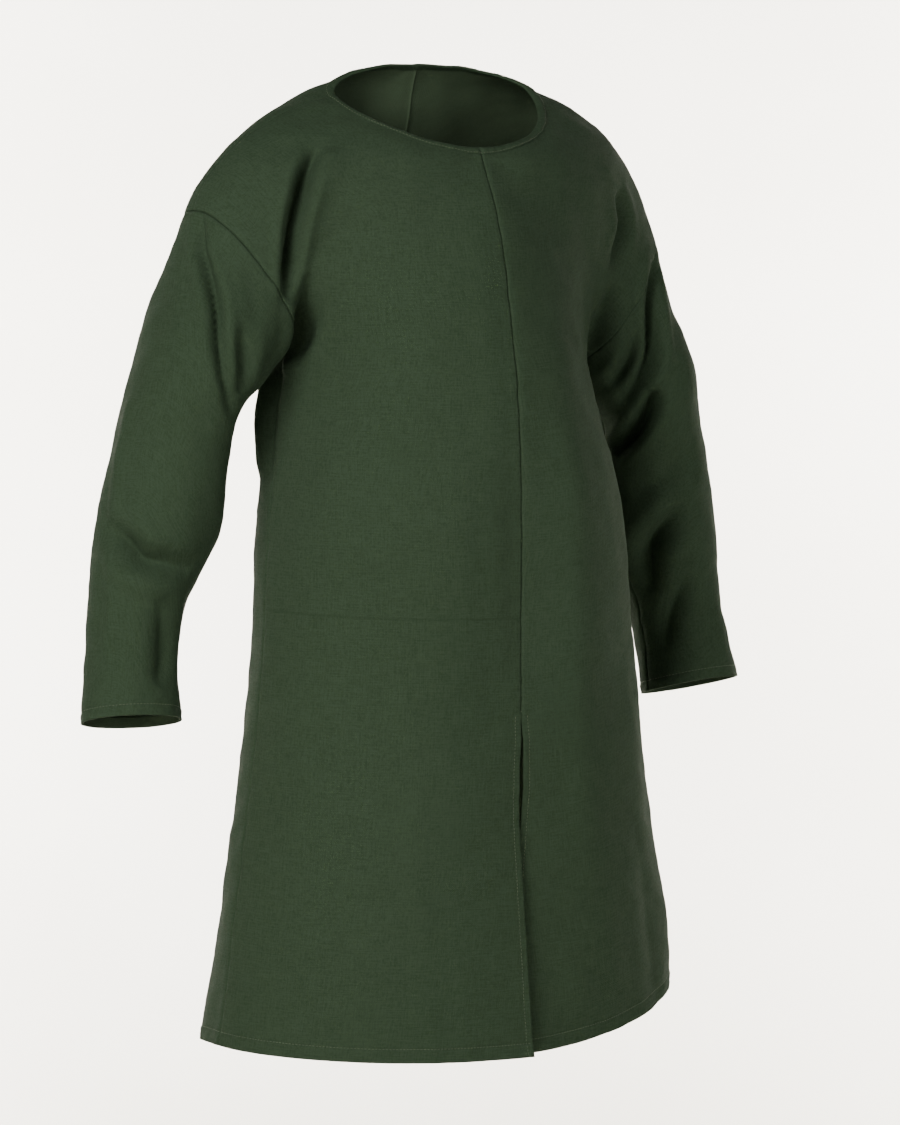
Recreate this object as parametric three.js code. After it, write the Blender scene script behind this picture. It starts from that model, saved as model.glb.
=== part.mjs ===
// A knee-length medieval tunic in heavy cotton cloth, worn with no wearer. Millimetres, +Z up.
// The origin lies midway between the two side-neck points. The wearer faces -Y, and their left is +X.
//
// Four half panels and two sleeves share one surface. A half panel is a grid of rows: u runs along a row from
// the outer edge (side seam, then armhole) to the centre edge (centre seam, then neck), and v runs from the hem
// (0) past the underarm (1) and the neck's centre (2) to the shoulder seam (3). A sleeve is a stack of rings:
// t runs from armhole (0) to cuff (1), and the angle round a ring starts on the outer arm, goes over the front
// and passes the underarm at 180 degrees. Above the chest the rows settle into the smoothest surface that their
// seams allow, and creases are soft troughs pressed into that.
import * as THREE from 'three';

const CLOTH = { wall: 2, seamGap: 0.3, armholeEase: 0.2, underarmEase: 0.15 };
const DYE = { colour: 0x2b3a28, roughness: 0.92, metalness: 0 };

const RIGHT = -1; // sign of x on the wearer's right
const LEFT = 1;

// Body sections from hem to collar. halfWidth is at the side seams, front and back are the depths at the centre
// seams, square is how full the section's corners are, stray moves the front seam to the wearer's left, and
// leftExtra widens the wearer's left side, whose skirt swings out.
const BODY = [
  { z: -1005, halfWidth: 268, front: 183, back: 175, square: 1.02, stray: -1, leftExtra: 5 },
  { z: -860, halfWidth: 243, front: 179, back: 145, square: 1.03, stray: 0, leftExtra: 20 },
  { z: -700, halfWidth: 221, front: 177, back: 136, square: 1.05, stray: -4, leftExtra: 10 },
  { z: -540, halfWidth: 202, front: 177, back: 130, square: 1.07, stray: -3, leftExtra: 6 },
  { z: -400, halfWidth: 199, front: 186, back: 132, square: 1.08, stray: -7, leftExtra: 6 },
  { z: -290, halfWidth: 205, front: 175, back: 128, square: 1.08, stray: -4, leftExtra: 4 },
  { z: -200, halfWidth: 185, front: 154, back: 118, square: 1.05, stray: 0, leftExtra: 4 },
  { z: -120, halfWidth: 175, front: 131, back: 95, square: 1, stray: 0, leftExtra: 4 },
  { z: -55, halfWidth: 165, front: 91, back: 64, square: 1, stray: 0, leftExtra: 4 },
];

// Sleeve rings from armhole to cuff: the ring's centre, its two half sizes, and how far its outer and its front
// axis tilt up, in degrees.
const SLEEVE = [
  { t: 0.0, out: 222, y: 10, z: -185, outer: 86, front: 67, outerTilt: 54, frontTilt: 1 },
  { t: 0.12, out: 248, y: 16, z: -239, outer: 71, front: 76, outerTilt: 48, frontTilt: -2 },
  { t: 0.25, out: 276, y: 14, z: -287, outer: 57, front: 73, outerTilt: 36, frontTilt: 1 },
  { t: 0.4, out: 288, y: 26, z: -351, outer: 60, front: 69, outerTilt: 29, frontTilt: 6 },
  { t: 0.55, out: 300, y: 28, z: -423, outer: 64, front: 63, outerTilt: 23, frontTilt: 7 },
  { t: 0.7, out: 321, y: 27, z: -483, outer: 53, front: 56, outerTilt: 18, frontTilt: 16 },
  { t: 0.85, out: 335, y: 29, z: -558, outer: 46, front: 51, outerTilt: 15, frontTilt: 19 },
  { t: 1.0, out: 341, y: 14, z: -627, outer: 53, front: 46, outerTilt: 4, frontTilt: 14 },
];

// How far each arm hangs from the table's pose, at the armhole and at the cuff.
const ARM_POSE = {
  [RIGHT]: { armhole: [0, 0, 0], cuff: [0, 0, 0] },
  [LEFT]: { armhole: [14, 34, -31], cuff: [-7, 5, 1] },
};

const NECK = {
  halfWidth: 117,
  front: { reach: -93, rise: -55, curve: 1.06, faces: [0, -0.83, 0.55] },
  back: { reach: 30, rise: 30, curve: 1, faces: [0, 0.8, 0.6] },
  sideFaces: [0.24, -0.15, 0.96],
  firstColumn: 20,
};

// Where the hem hangs at the centres and at the sides, and the height on the centre seams of the underarm row.
const HEM = { front: -966, back: -995, [RIGHT]: -957, [LEFT]: -922 };
const CHEST_LINE = -285;

// Below the underarm the side seam turns in from the body's width over this height, and a row leaves the side
// seam in the direction of corner.
const UNDERARM = { blend: 210, corner: { x: 0.1, y: 0.65, z: -0.65 } };

// The shoulder seam: its slope at the neck, and how strongly it is drawn along the arm and along the neck.
const SHOULDER = {
  [RIGHT]: { slope: 14, armPull: 1.01, neckPull: 0.87 },
  [LEFT]: { slope: 9, armPull: 1.15, neckPull: 1.22 },
};
const ROUNDNESS = 1.657; // end speed of a cubic that draws a quarter of an ellipse

// Rows above this one settle. The panel bends smoothly into the sleeve from the outer arm as far round as the
// first angle, and freely from the second on.
const SETTLE = { from: 0.85, joined: 70, free: 125, steps: 1500, tolerance: 1e-9 };

// The front slit: how far each edge strays to the wearer's left, and how far the right front stands out and the
// left front lies in, so that the right laps over the left.
const SLIT_TOP = -640;
const SLIT = [
  { z: -975, right: 6, left: -14, out: 8, in: 7 },
  { z: -900, right: 3, left: -10, out: 6, in: 5 },
  { z: -800, right: 0, left: -5, out: 4, in: 4 },
  { z: -740, right: -2, left: -1, out: 3, in: 3 },
  { z: -690, right: -3, left: 2, out: 1, in: 1 },
  { z: SLIT_TOP, right: 0, left: 0, out: 0, in: 0 },
];

const BINDING = { width: 8.5, thickness: 1.2, clear: 1.4, top: 0.6, cornerShare: 0.35 };

// Rows and columns of the grids. The slit's top has a row of its own.
const COLUMNS = 14;
const SKIRT_ROWS = 10;
const CHEST_ROWS = 9;
const NECK_ROWS = 8;
const RINGS = 20;

function hermite(a, b, slopeA, slopeB, t) {
  const t2 = t * t;
  const t3 = t2 * t;
  return (
    (2 * t3 - 3 * t2 + 1) * a + (t3 - 2 * t2 + t) * slopeA + (3 * t2 - 2 * t3) * b + (t3 - t2) * slopeB
  );
}

const clamp = THREE.MathUtils.clamp;
const lerp = THREE.MathUtils.lerp;
const smooth = (x) => THREE.MathUtils.smoothstep(x, 0, 1);
const radians = THREE.MathUtils.degToRad;
const vector = (x, y, z) => new THREE.Vector3(x, y, z);

// A smooth curve through one column of a table, read at a value of its key column.
function along(table, key, column, value) {
  const rows = table[0][key] < table[1][key] ? table : [...table].reverse();
  const x = clamp(value, rows[0][key], rows[rows.length - 1][key]);
  const chord = (i) => (rows[i + 1][column] - rows[i][column]) / (rows[i + 1][key] - rows[i][key]);
  const slope = (i) => {
    if (i === 0) return chord(0);
    if (i === rows.length - 1) return chord(i - 1);
    const before = rows[i][key] - rows[i - 1][key];
    const after = rows[i + 1][key] - rows[i][key];
    return (chord(i - 1) * after + chord(i) * before) / (before + after);
  };
  let i = 0;
  while (i < rows.length - 2 && x >= rows[i + 1][key]) i += 1;
  const step = rows[i + 1][key] - rows[i][key];
  const t = (x - rows[i][key]) / step;
  return hermite(rows[i][column], rows[i + 1][column], slope(i) * step, slope(i + 1) * step, t);
}

const column = (table, key) => (name, value) => along(table, key, name, value);
const body = column(BODY, 'z');
const sleeve = column(SLEEVE, 't');
const slit = column(SLIT, 'z');

// A point of a sleeve, in the mirrored frame in which x grows away from the body.
function armPoint(t, angle, side) {
  const pose = ARM_POSE[side];
  const [out, back, up] = pose.armhole.map((shift, i) => lerp(shift, pose.cuff[i], t));
  const outerTilt = radians(sleeve('outerTilt', t));
  const frontTilt = radians(sleeve('frontTilt', t));
  const outer = sleeve('outer', t) * Math.cos(angle);
  const front = sleeve('front', t) * Math.sin(angle);
  return vector(
    sleeve('out', t) + out + outer * Math.cos(outerTilt),
    sleeve('y', t) + back - front * Math.cos(frontTilt),
    sleeve('z', t) + up + outer * Math.sin(outerTilt) + front * Math.sin(frontTilt),
  );
}

// The neck edge, from the centre (angle 0) to the side-neck point (a quarter turn).
function neckPoint(angle, front) {
  const { reach, rise, curve } = front ? NECK.front : NECK.back;
  const cosine = Math.max(Math.cos(angle), 0);
  return vector(NECK.halfWidth * Math.sin(angle), reach * cosine, rise * cosine ** curve);
}

// A half panel's rows meet its corners without a kink because both edges slow down there.
const slowStart = (x) => x * x * (2 - x);
const armAngle = (v) => Math.PI * (1 - slowStart(clamp((v - 1) / 2, 0, 1)));
const neckAngle = (v) => (Math.PI / 2) * slowStart(clamp(v - 2, 0, 1));

function centreHeight(v, front) {
  const top = (front ? NECK.front : NECK.back).rise;
  const hem = front ? HEM.front : HEM.back;
  const rise = 0.4 * (top - hem);
  if (v < 1) return hermite(hem, CHEST_LINE, CHEST_LINE - hem, rise, v);
  return hermite(CHEST_LINE, top, rise, 0, Math.min(v - 1, 1));
}

function outerEdge(v, side, front) {
  if (v >= 1) return armPoint(0, front ? armAngle(v) : -armAngle(v), side);
  const underarm = armPoint(0, Math.PI, side);
  const hem = HEM[side];
  const z = hermite(hem, underarm.z, CHEST_LINE - hem, 0, v);
  const width = body('halfWidth', z) + (side === LEFT ? body('leftExtra', z) : 0);
  const blend = smooth((z - underarm.z) / UNDERARM.blend + 1);
  return vector(lerp(width, underarm.x, blend), underarm.y * blend, z);
}

function centreEdge(v, side, front) {
  if (v >= 2) return neckPoint(neckAngle(v), front);
  const facing = front ? -1 : 1;
  const z = centreHeight(v, front);
  const neck = neckPoint(0, front);
  const depth = front ? 'front' : 'back';
  const toNeck = smooth((z - neck.z) / 160 + 1);
  const point = vector(0, facing * body(depth, z), z);
  point.y += (neck.y - facing * body(depth, neck.z)) * toNeck;
  if (front) {
    point.x = side * body('stray', z) * smooth((neck.z - z) / 40);
    point.x += side * slit(side === RIGHT ? 'right' : 'left', z);
    point.y -= side === RIGHT ? slit('out', z) : -slit('in', z);
  }
  return point;
}

// The direction and speed with which a row leaves its outer edge and arrives at its centre edge: those of the
// body's section below the underarm, and those of the shoulder seam above it.
function rowPulls(v, side, front, outer, centre) {
  if (v < 1) {
    const facing = front ? -1 : 1;
    const { x, y, z } = UNDERARM.corner;
    const away = vector(0, facing, 0).lerp(vector(x, facing * y, z), smooth(2 * v - 1)).normalize();
    const fullness = ROUNDNESS * body('square', centre.z);
    return [
      away.multiplyScalar(fullness * Math.abs(centre.y - outer.y)),
      vector(-fullness * Math.abs(outer.x - centre.x), 0, 0),
    ];
  }
  const { slope, armPull, neckPull } = SHOULDER[side];
  const angle = front ? armAngle(v) : -armAngle(v);
  const alongArm = armPoint(0, angle, side).sub(armPoint(0.1, angle, side)).normalize();
  const alongNeck = vector(-Math.cos(radians(slope)), 0, Math.sin(radians(slope)));
  const span = outer.distanceTo(centre);
  return [alongArm.multiplyScalar(span * armPull), alongNeck.multiplyScalar(span * neckPull)];
}

function panelPoint(u, v, side, front) {
  const outer = outerEdge(v, side, front);
  const centre = centreEdge(v, side, front);
  const [outerSpeed, centreSpeed] = rowPulls(v, side, front, outer, centre);
  const axis = (name) => hermite(outer[name], centre[name], outerSpeed[name], centreSpeed[name], u);
  return vector(side * axis('x'), axis('y'), axis('z'));
}

function sleevePoint(t, angle, side) {
  const point = armPoint(t, angle, side);
  point.x *= side;
  return point;
}

// The row of a front panel at which the slit ends.
function slitRow() {
  let low = 0;
  let high = 1;
  for (let i = 0; i < 40; i += 1) {
    const middle = (low + high) / 2;
    if (centreHeight(middle, true) < SLIT_TOP) low = middle;
    else high = middle;
  }
  return low;
}

const steps = (from, to, count) =>
  Array.from({ length: count + 1 }, (_, i) => lerp(from, to, i / count));

// The rows of every panel. The first step above the underarm is a double one, because the armhole starts
// slowly.
function rowValues() {
  const top = slitRow();
  const below = Math.round(SKIRT_ROWS * top);
  return [
    ...steps(0, top, below),
    ...steps(top, 1, SKIRT_ROWS - below).slice(1),
    ...steps(1, 2, CHEST_ROWS).slice(2),
    ...steps(2, 3, NECK_ROWS).slice(1),
  ];
}
const ROWS = rowValues();
const ARM_ROWS = ROWS.filter((v) => v >= 1);

// The point one column in from the neck edge. The cloth faces forwards or backwards at the centre and upwards
// at the side, and a row leaves the corner at the centre halfway between its two edges.
function belowNeck(v, side, front, lastStep) {
  const angle = neckAngle(v);
  const share = slowStart(v - 2);
  const faces = vector(...(front ? NECK.front : NECK.back).faces).normalize();
  const normal = faces.lerp(vector(...NECK.sideFaces).normalize(), share).normalize();
  const nudge = 0.001;
  const round = neckPoint(angle + nudge, front).sub(neckPoint(Math.max(angle - nudge, 0), front));
  round.projectOnPlane(normal).normalize();
  const away = round.clone().cross(normal);
  if (away.z > 0) away.negate();
  const turn = radians(45 + 45 * smooth(v - 2));
  const step = round.multiplyScalar(Math.cos(turn)).addScaledVector(away, Math.sin(turn));
  const point = neckPoint(angle, front).addScaledVector(step, lerp(NECK.firstColumn, lastStep, share));
  point.x *= side;
  return point;
}

// The pieces of cloth as grids of surface points. A grid's outward side is the one that faces away from the
// body.
function panelGrid(side, front) {
  const points = ROWS.map((v) => steps(0, 1, COLUMNS).map((u) => panelPoint(u, v, side, front)));
  const shoulder = points[points.length - 1];
  const lastStep = shoulder[COLUMNS - 1].distanceTo(shoulder[COLUMNS]);
  ROWS.forEach((v, i) => {
    if (v >= 2 && v < 3) points[i][COLUMNS - 1] = belowNeck(v, side, front, lastStep);
  });
  return { points, closed: false, turn: (front ? -1 : 1) * side };
}

function sleeveGrid(side) {
  const overFront = ARM_ROWS.map(armAngle).reverse();
  const overBack = ARM_ROWS.slice(1, -1).map((v) => 2 * Math.PI - armAngle(v));
  const angles = [...overFront, ...overBack];
  const points = steps(0, 1, RINGS).map((t) => angles.map((a) => sleevePoint(t, a, side)));
  return { points, closed: true, turn: side };
}

const BODY_PIECES = ['front_right', 'front_left', 'back_right', 'back_left'];
const PIECES = {
  front_right: panelGrid(RIGHT, true),
  front_left: panelGrid(LEFT, true),
  back_right: panelGrid(RIGHT, false),
  back_left: panelGrid(LEFT, false),
  sleeve_right: sleeveGrid(RIGHT),
  sleeve_left: sleeveGrid(LEFT),
};

const keyOf = (point) => point.toArray().map((value) => Math.round(value * 1000)).join(' ');

// The pieces sewn together as one net: every point once, with its neighbours, whether it may move, and how much
// its bending counts.
function sewnNet() {
  const nodes = new Map();
  const nodeAt = (point) => {
    const key = keyOf(point);
    if (!nodes.has(key)) nodes.set(key, { point, near: new Set(), free: false, weight: 0, places: [] });
    return nodes.get(key);
  };
  for (const [name, { points, closed }] of Object.entries(PIECES)) {
    const backSeam = name.startsWith('back');
    const rows = points.map((row) => row.map(nodeAt));
    const columns = rows[0].length;
    rows.forEach((row, i) =>
      row.forEach((node, j) => {
        node.places.push([points, i, j]);
        const beside = closed || j + 1 < columns ? [row[(j + 1) % columns]] : [];
        const above = i + 1 < rows.length ? [rows[i + 1][j]] : [];
        for (const other of [...beside, ...above]) {
          node.near.add(other);
          other.near.add(node);
        }
        if (closed || ROWS[i] <= SETTLE.from) return;
        const fromCentre = columns - 1 - j;
        if (i === rows.length - 1 || (j === 0 && ROWS[i] >= 1)) node.free = false;
        else if (ROWS[i] >= 2) node.free = fromCentre > 1;
        else node.free = fromCentre > 0 || backSeam;
        node.weight = 1;
        if (j === 0 && ROWS[i] >= 1) {
          const degrees = THREE.MathUtils.radToDeg(armAngle(ROWS[i]));
          node.weight = smooth((SETTLE.free - degrees) / (SETTLE.free - SETTLE.joined));
        }
        if (j === columns - 1 && ROWS[i] >= 2) node.weight = 0;
      }),
    );
  }
  const net = [...nodes.values()];
  net.forEach((node, i) => {
    node.index = i;
  });
  return net;
}

// Moves the free points so that the net bends as little as it can: conjugate gradients on the bending energy.
function settle() {
  const net = sewnNet();
  const links = net.map(({ near }) => [...near].map((node) => node.index));
  const bend = (x) =>
    x.map((value, i) => net[i].weight * (links[i].reduce((sum, k) => sum + x[k], 0) / links[i].length - value));
  const bendBack = (r) => {
    const out = r.map((value, i) => -net[i].weight * value);
    r.forEach((value, i) => {
      for (const k of links[i]) out[k] += (net[i].weight * value) / links[i].length;
    });
    return out.map((value, i) => (net[i].free ? value : 0));
  };
  const dot = (a, b) => a.reduce((sum, value, i) => sum + value * b[i], 0);
  for (const axis of ['x', 'y', 'z']) {
    let x = net.map(({ point }) => point[axis]);
    let residual = bendBack(bend(x)).map((value) => -value);
    let step = residual;
    let size = dot(residual, residual);
    for (let n = 0; n < SETTLE.steps && size > SETTLE.tolerance; n += 1) {
      const bent = bend(step);
      const reach = size / dot(bent, bent);
      x = x.map((value, i) => value + reach * step[i]);
      const back = bendBack(bent);
      residual = residual.map((value, i) => value - reach * back[i]);
      const next = dot(residual, residual);
      step = residual.map((value, i) => value + (next / size) * step[i]);
      size = next;
    }
    net.forEach((node, i) => {
      for (const [points, row, column] of node.places) points[row][column][axis] = x[i];
    });
  }
}
settle();

// Creases. Each is a trough along a route over one piece, in that piece's own grid values: [u, v] on a panel
// and [t, degrees] on a sleeve. width is from its middle to where it fades, and a negative depth is a ridge.
const CREASES = [
  // in front of and behind the armholes
  { on: 'front_right', route: [[0.51, 2.33], [0.3, 2.16], [0.09, 1.99], [0.04, 1.95]], width: 15, depth: 13 },
  { on: 'front_right', route: [[0.6, 2.4], [0.49, 2.19], [0.42, 2.03]], width: 20, depth: -4 },
  { on: 'front_right', route: [[0.13, 1.85], [0.23, 1.93], [0.46, 1.88]], width: 24, depth: 4 },
  { on: 'front_right', route: [[0.17, 1.74], [0.09, 1.6], [0.02, 1.2]], width: 18, depth: 6 },
  { on: 'front_left', route: [[0.4, 2.4], [0.26, 2.28], [0.2, 2]], width: 16, depth: 9 },
  { on: 'front_left', route: [[0.12, 1.94], [0.07, 1.8], [0.02, 1.6]], width: 16, depth: 6 },
  { on: 'back_right', route: [[0.45, 2.4], [0.27, 2.2], [0.13, 1.95]], width: 18, depth: 8 },
  { on: 'back_right', route: [[0.16, 1.8], [0.12, 1.6], [0.14, 1.3]], width: 20, depth: 6 },
  { on: 'back_left', route: [[0.42, 2.45], [0.25, 2.24], [0.1, 2]], width: 17, depth: 9 },
  { on: 'back_left', route: [[0.2, 1.85], [0.13, 1.65], [0.12, 1.35]], width: 20, depth: 6 },
  // from the underarm down the sides
  { on: 'back_right', route: [[0.05, 0.95], [0.1, 0.8], [0.12, 0.6]], width: 22, depth: 6 },
  { on: 'back_left', route: [[0.06, 0.93], [0.1, 0.74], [0.16, 0.5]], width: 24, depth: 7 },
  { on: 'back_right', route: [[0.5, 0], [0.5, 0.2], [0.46, 0.5]], width: 34, depth: 7 },
  { on: 'back_left', route: [[0.42, 0], [0.44, 0.25], [0.5, 0.55]], width: 36, depth: 8 },
  { on: 'front_left', route: [[0.45, 0], [0.47, 0.12], [0.52, 0.3]], width: 34, depth: 4 },
  // sleeves: the cap, the underarm, the elbow and the forearm
  { on: 'sleeve_right', route: [[0.01, 15], [0.05, 22], [0.11, 41], [0.16, 65]], width: 15, depth: 6 },
  { on: 'sleeve_right', route: [[0.14, 94], [0.19, 103], [0.25, 111]], width: 14, depth: 6 },
  { on: 'sleeve_right', route: [[0.65, 21], [0.7, 63], [0.7, 128]], width: 17, depth: 8 },
  { on: 'sleeve_right', route: [[0.77, 95], [0.84, 93], [0.91, 87]], width: 17, depth: 5 },
  { on: 'sleeve_right', route: [[0.02, 330], [0.14, 300], [0.24, 280]], width: 18, depth: 6 },
  { on: 'sleeve_right', route: [[0.6, 170], [0.64, 215], [0.6, 260]], width: 18, depth: 6 },
  { on: 'sleeve_left', route: [[0, 46], [0.04, 74], [0.1, 91], [0.18, 145]], width: 16, depth: 10 },
  { on: 'sleeve_left', route: [[0.22, 118], [0.26, 138], [0.33, 159]], width: 15, depth: 6 },
  { on: 'sleeve_left', route: [[0.44, 80], [0.46, 112], [0.47, 144]], width: 17, depth: 5 },
  { on: 'sleeve_left', route: [[0.56, 94], [0.69, 151], [0.78, 162]], width: 17, depth: 8 },
  { on: 'sleeve_left', route: [[0.78, 114], [0.84, 142], [0.91, 145]], width: 15, depth: 6 },
  { on: 'sleeve_left', route: [[0.03, 325], [0.15, 295], [0.26, 270]], width: 18, depth: 7 },
  { on: 'sleeve_left', route: [[0.62, 175], [0.66, 220], [0.62, 262]], width: 18, depth: 6 },
];
const CREASE_STEPS = 10;

function gridPoint(name, [a, b]) {
  if (name.startsWith('sleeve')) return sleevePoint(a, radians(b), name.endsWith('right') ? RIGHT : LEFT);
  const { points } = PIECES[name];
  const i = clamp(ROWS.findLastIndex((v) => v <= b), 0, ROWS.length - 2);
  const j = Math.min(Math.floor(a * COLUMNS), COLUMNS - 1);
  const across = a * COLUMNS - j;
  const between = (row) => row[j].clone().lerp(row[j + 1], across);
  return between(points[i]).lerp(between(points[i + 1]), (b - ROWS[i]) / (ROWS[i + 1] - ROWS[i]));
}

function creaseLine({ on, route }) {
  const flat = new THREE.CatmullRomCurve3(route.map(([a, b]) => vector(a, b, 0)));
  return flat.getPoints(CREASE_STEPS).map((p) => gridPoint(on, [p.x, p.y]));
}
const CREASE_LINES = CREASES.map((crease) => ({ ...crease, line: creaseLine(crease) }));

// How deep the creases press a point in: each has a soft round trough that fades towards its two ends.
function creaseDepth(point) {
  let total = 0;
  const nearest = vector();
  for (const { line, width, depth } of CREASE_LINES) {
    let best = Infinity;
    let place = 0;
    for (let i = 0; i < line.length - 1; i += 1) {
      const segment = new THREE.Line3(line[i], line[i + 1]);
      const t = segment.closestPointToPointParameter(point, true);
      const distance = segment.at(t, nearest).distanceTo(point);
      if (distance < best) {
        best = distance;
        place = (i + t) / (line.length - 1);
      }
    }
    const fade = 0.35 + 0.65 * Math.sin(Math.PI * place);
    total += depth * fade * Math.exp(-((best / width) ** 2));
  }
  return total;
}

// Four corners of every cell, wrapping round a closed grid.
function cells({ points, closed }) {
  const columns = points[0].length;
  const list = [];
  for (let i = 0; i < points.length - 1; i += 1) {
    for (let j = 0; j < (closed ? columns : columns - 1); j += 1) {
      const k = (j + 1) % columns;
      list.push([[i, j], [i, k], [i + 1, k], [i + 1, j]]);
    }
  }
  return list;
}

// Outward normals of grids that join smoothly.
function normalsOf(grids) {
  const sums = new Map();
  for (const grid of grids) {
    for (const corners of cells(grid)) {
      const [a, b, c, d] = corners.map(([i, j]) => grid.points[i][j]);
      const normal = c.clone().sub(a).cross(d.clone().sub(b)).multiplyScalar(grid.turn);
      for (const key of [a, b, c, d].map(keyOf)) {
        if (!sums.has(key)) sums.set(key, vector(0, 0, 0));
        sums.get(key).add(normal);
      }
    }
  }
  for (const sum of sums.values()) sum.normalize();
  return sums;
}

// Where a sleeve meets the body, both take the direction halfway between them, so that their walls meet in a
// mitre.
function setNormals() {
  const groups = [BODY_PIECES, ['sleeve_right'], ['sleeve_left']].map((names) =>
    normalsOf(names.map((n) => PIECES[n])),
  );
  for (const grid of Object.values(PIECES)) {
    grid.normals = grid.points.map((row) =>
      row.map((point) => {
        const key = keyOf(point);
        const sum = vector(0, 0, 0);
        for (const group of groups) if (group.has(key)) sum.add(group.get(key));
        return sum.normalize();
      }),
    );
  }
}

function pressCreases() {
  setNormals();
  for (const { points, normals } of Object.values(PIECES)) {
    points.forEach((row, i) =>
      row.forEach((point, j) => point.addScaledVector(normals[i][j], -creaseDepth(point))),
    );
  }
  setNormals();
}

// Each open edge is drawn in by half a seam gap, square to the cloth and to both of its segments that meet at a
// point. A sleeve's ends and a panel's underarm corner are drawn in a little further, because three pieces meet
// there at an angle.
function drawInEdges({ points, normals, closed, turn }) {
  const distance = CLOTH.seamGap / 2 + (closed ? CLOTH.armholeEase : 0);
  const isUnderarm = (i, j) => !closed && j === 0 && ROWS[i] === 1;
  const lastRow = points.length - 1;
  const columns = points[0].length;
  const pointAt = (i, j) => points[i]?.[closed ? (j + columns) % columns : j];
  const pullsAt = (i, j) => {
    const pulls = [];
    const pull = (next, inside) => {
      if (!next) return;
      const square = next.clone().sub(points[i][j]).cross(normals[i][j]).normalize();
      pulls.push(square.multiplyScalar(Math.sign(square.dot(inside.clone().sub(points[i][j])))));
    };
    if (i === 0 || i === lastRow) {
      const inside = points[i === 0 ? 1 : lastRow - 1][j];
      pull(pointAt(i, j - 1), inside);
      pull(pointAt(i, j + 1), inside);
    }
    if (!closed && (j === 0 || j === columns - 1)) {
      const inside = points[i][j === 0 ? 1 : columns - 2];
      pull(pointAt(i - 1, j), inside);
      pull(pointAt(i + 1, j), inside);
    }
    return pulls;
  };
  const drawn = points.map((row, i) =>
    row.map((point, j) => {
      const [one, other] = pullsAt(i, j);
      if (!one) return point;
      const ease = isUnderarm(i, j) ? CLOTH.underarmEase : 0;
      const reach = (distance + ease) / Math.max(1 + one.dot(other), 0.5);
      return point.clone().addScaledVector(one, reach).addScaledVector(other, reach);
    }),
  );
  return { points: drawn, normals, closed, turn };
}

// A closed solid between two faces of a grid, each given as a function of row and column.
function solid(rows, columns, closed, turn, outside, inside) {
  const positions = [];
  for (const face of [outside, inside]) {
    for (let i = 0; i < rows; i += 1) {
      for (let j = 0; j < columns; j += 1) positions.push(...face(i, j).toArray());
    }
  }
  const out = (i, j) => i * columns + (j % columns);
  const inn = (i, j) => rows * columns + out(i, j);
  const index = [];
  const quad = (a, b, c, d) => index.push(...(turn > 0 ? [a, b, c, a, c, d] : [a, c, b, a, d, c]));
  const last = closed ? columns : columns - 1;
  for (let i = 0; i < rows - 1; i += 1) {
    for (let j = 0; j < last; j += 1) {
      quad(out(i, j), out(i, j + 1), out(i + 1, j + 1), out(i + 1, j));
      quad(inn(i, j), inn(i + 1, j), inn(i + 1, j + 1), inn(i, j + 1));
    }
  }
  for (let j = 0; j < last; j += 1) {
    quad(out(0, j), inn(0, j), inn(0, j + 1), out(0, j + 1));
    quad(out(rows - 1, j), out(rows - 1, j + 1), inn(rows - 1, j + 1), inn(rows - 1, j));
  }
  if (!closed) {
    for (let i = 0; i < rows - 1; i += 1) {
      quad(out(i, 0), out(i + 1, 0), inn(i + 1, 0), inn(i, 0));
      quad(out(i, columns - 1), inn(i, columns - 1), inn(i + 1, columns - 1), out(i + 1, columns - 1));
    }
  }
  const geometry = new THREE.BufferGeometry();
  geometry.setAttribute('position', new THREE.Float32BufferAttribute(positions, 3));
  geometry.setIndex(index);
  return geometry;
}

function clothSolid(grid) {
  const { points, normals, closed, turn } = drawInEdges(grid);
  const face = (way) => (i, j) => points[i][j].clone().addScaledVector(normals[i][j], (way * CLOTH.wall) / 2);
  return solid(points.length, points[0].length, closed, turn, face(1), face(-1));
}

// The binding follows the neck edge all round. Each station has a point on that edge and one further down the
// cloth: the panel's next column, or the centre seam below the neck's corner.
function neckStations() {
  const corner = ROWS.indexOf(2);
  const station = (name, edge, below) => {
    const { points, normals } = PIECES[name];
    const at = (grid, [i, j]) => grid[i][j].clone();
    return {
      edge: at(points, edge),
      edgeNormal: at(normals, edge),
      below: at(points, below),
      belowNormal: at(normals, below),
    };
  };
  const quarter = (name) => {
    const stations = ROWS.slice(corner).map((_, k) =>
      station(name, [corner + k, COLUMNS], [corner + k, COLUMNS - 1]),
    );
    stations[0].edge.lerp(stations[1].edge, BINDING.cornerShare);
    return stations;
  };
  const centre = (name) => station(name, [corner, COLUMNS], [corner - 1, COLUMNS]);
  return [
    centre('front_right'),
    ...quarter('front_right').slice(0, -1),
    ...quarter('back_right').reverse(),
    centre('back_right'),
    ...quarter('back_left').slice(0, -1),
    ...quarter('front_left').reverse(),
  ];
}

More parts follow.
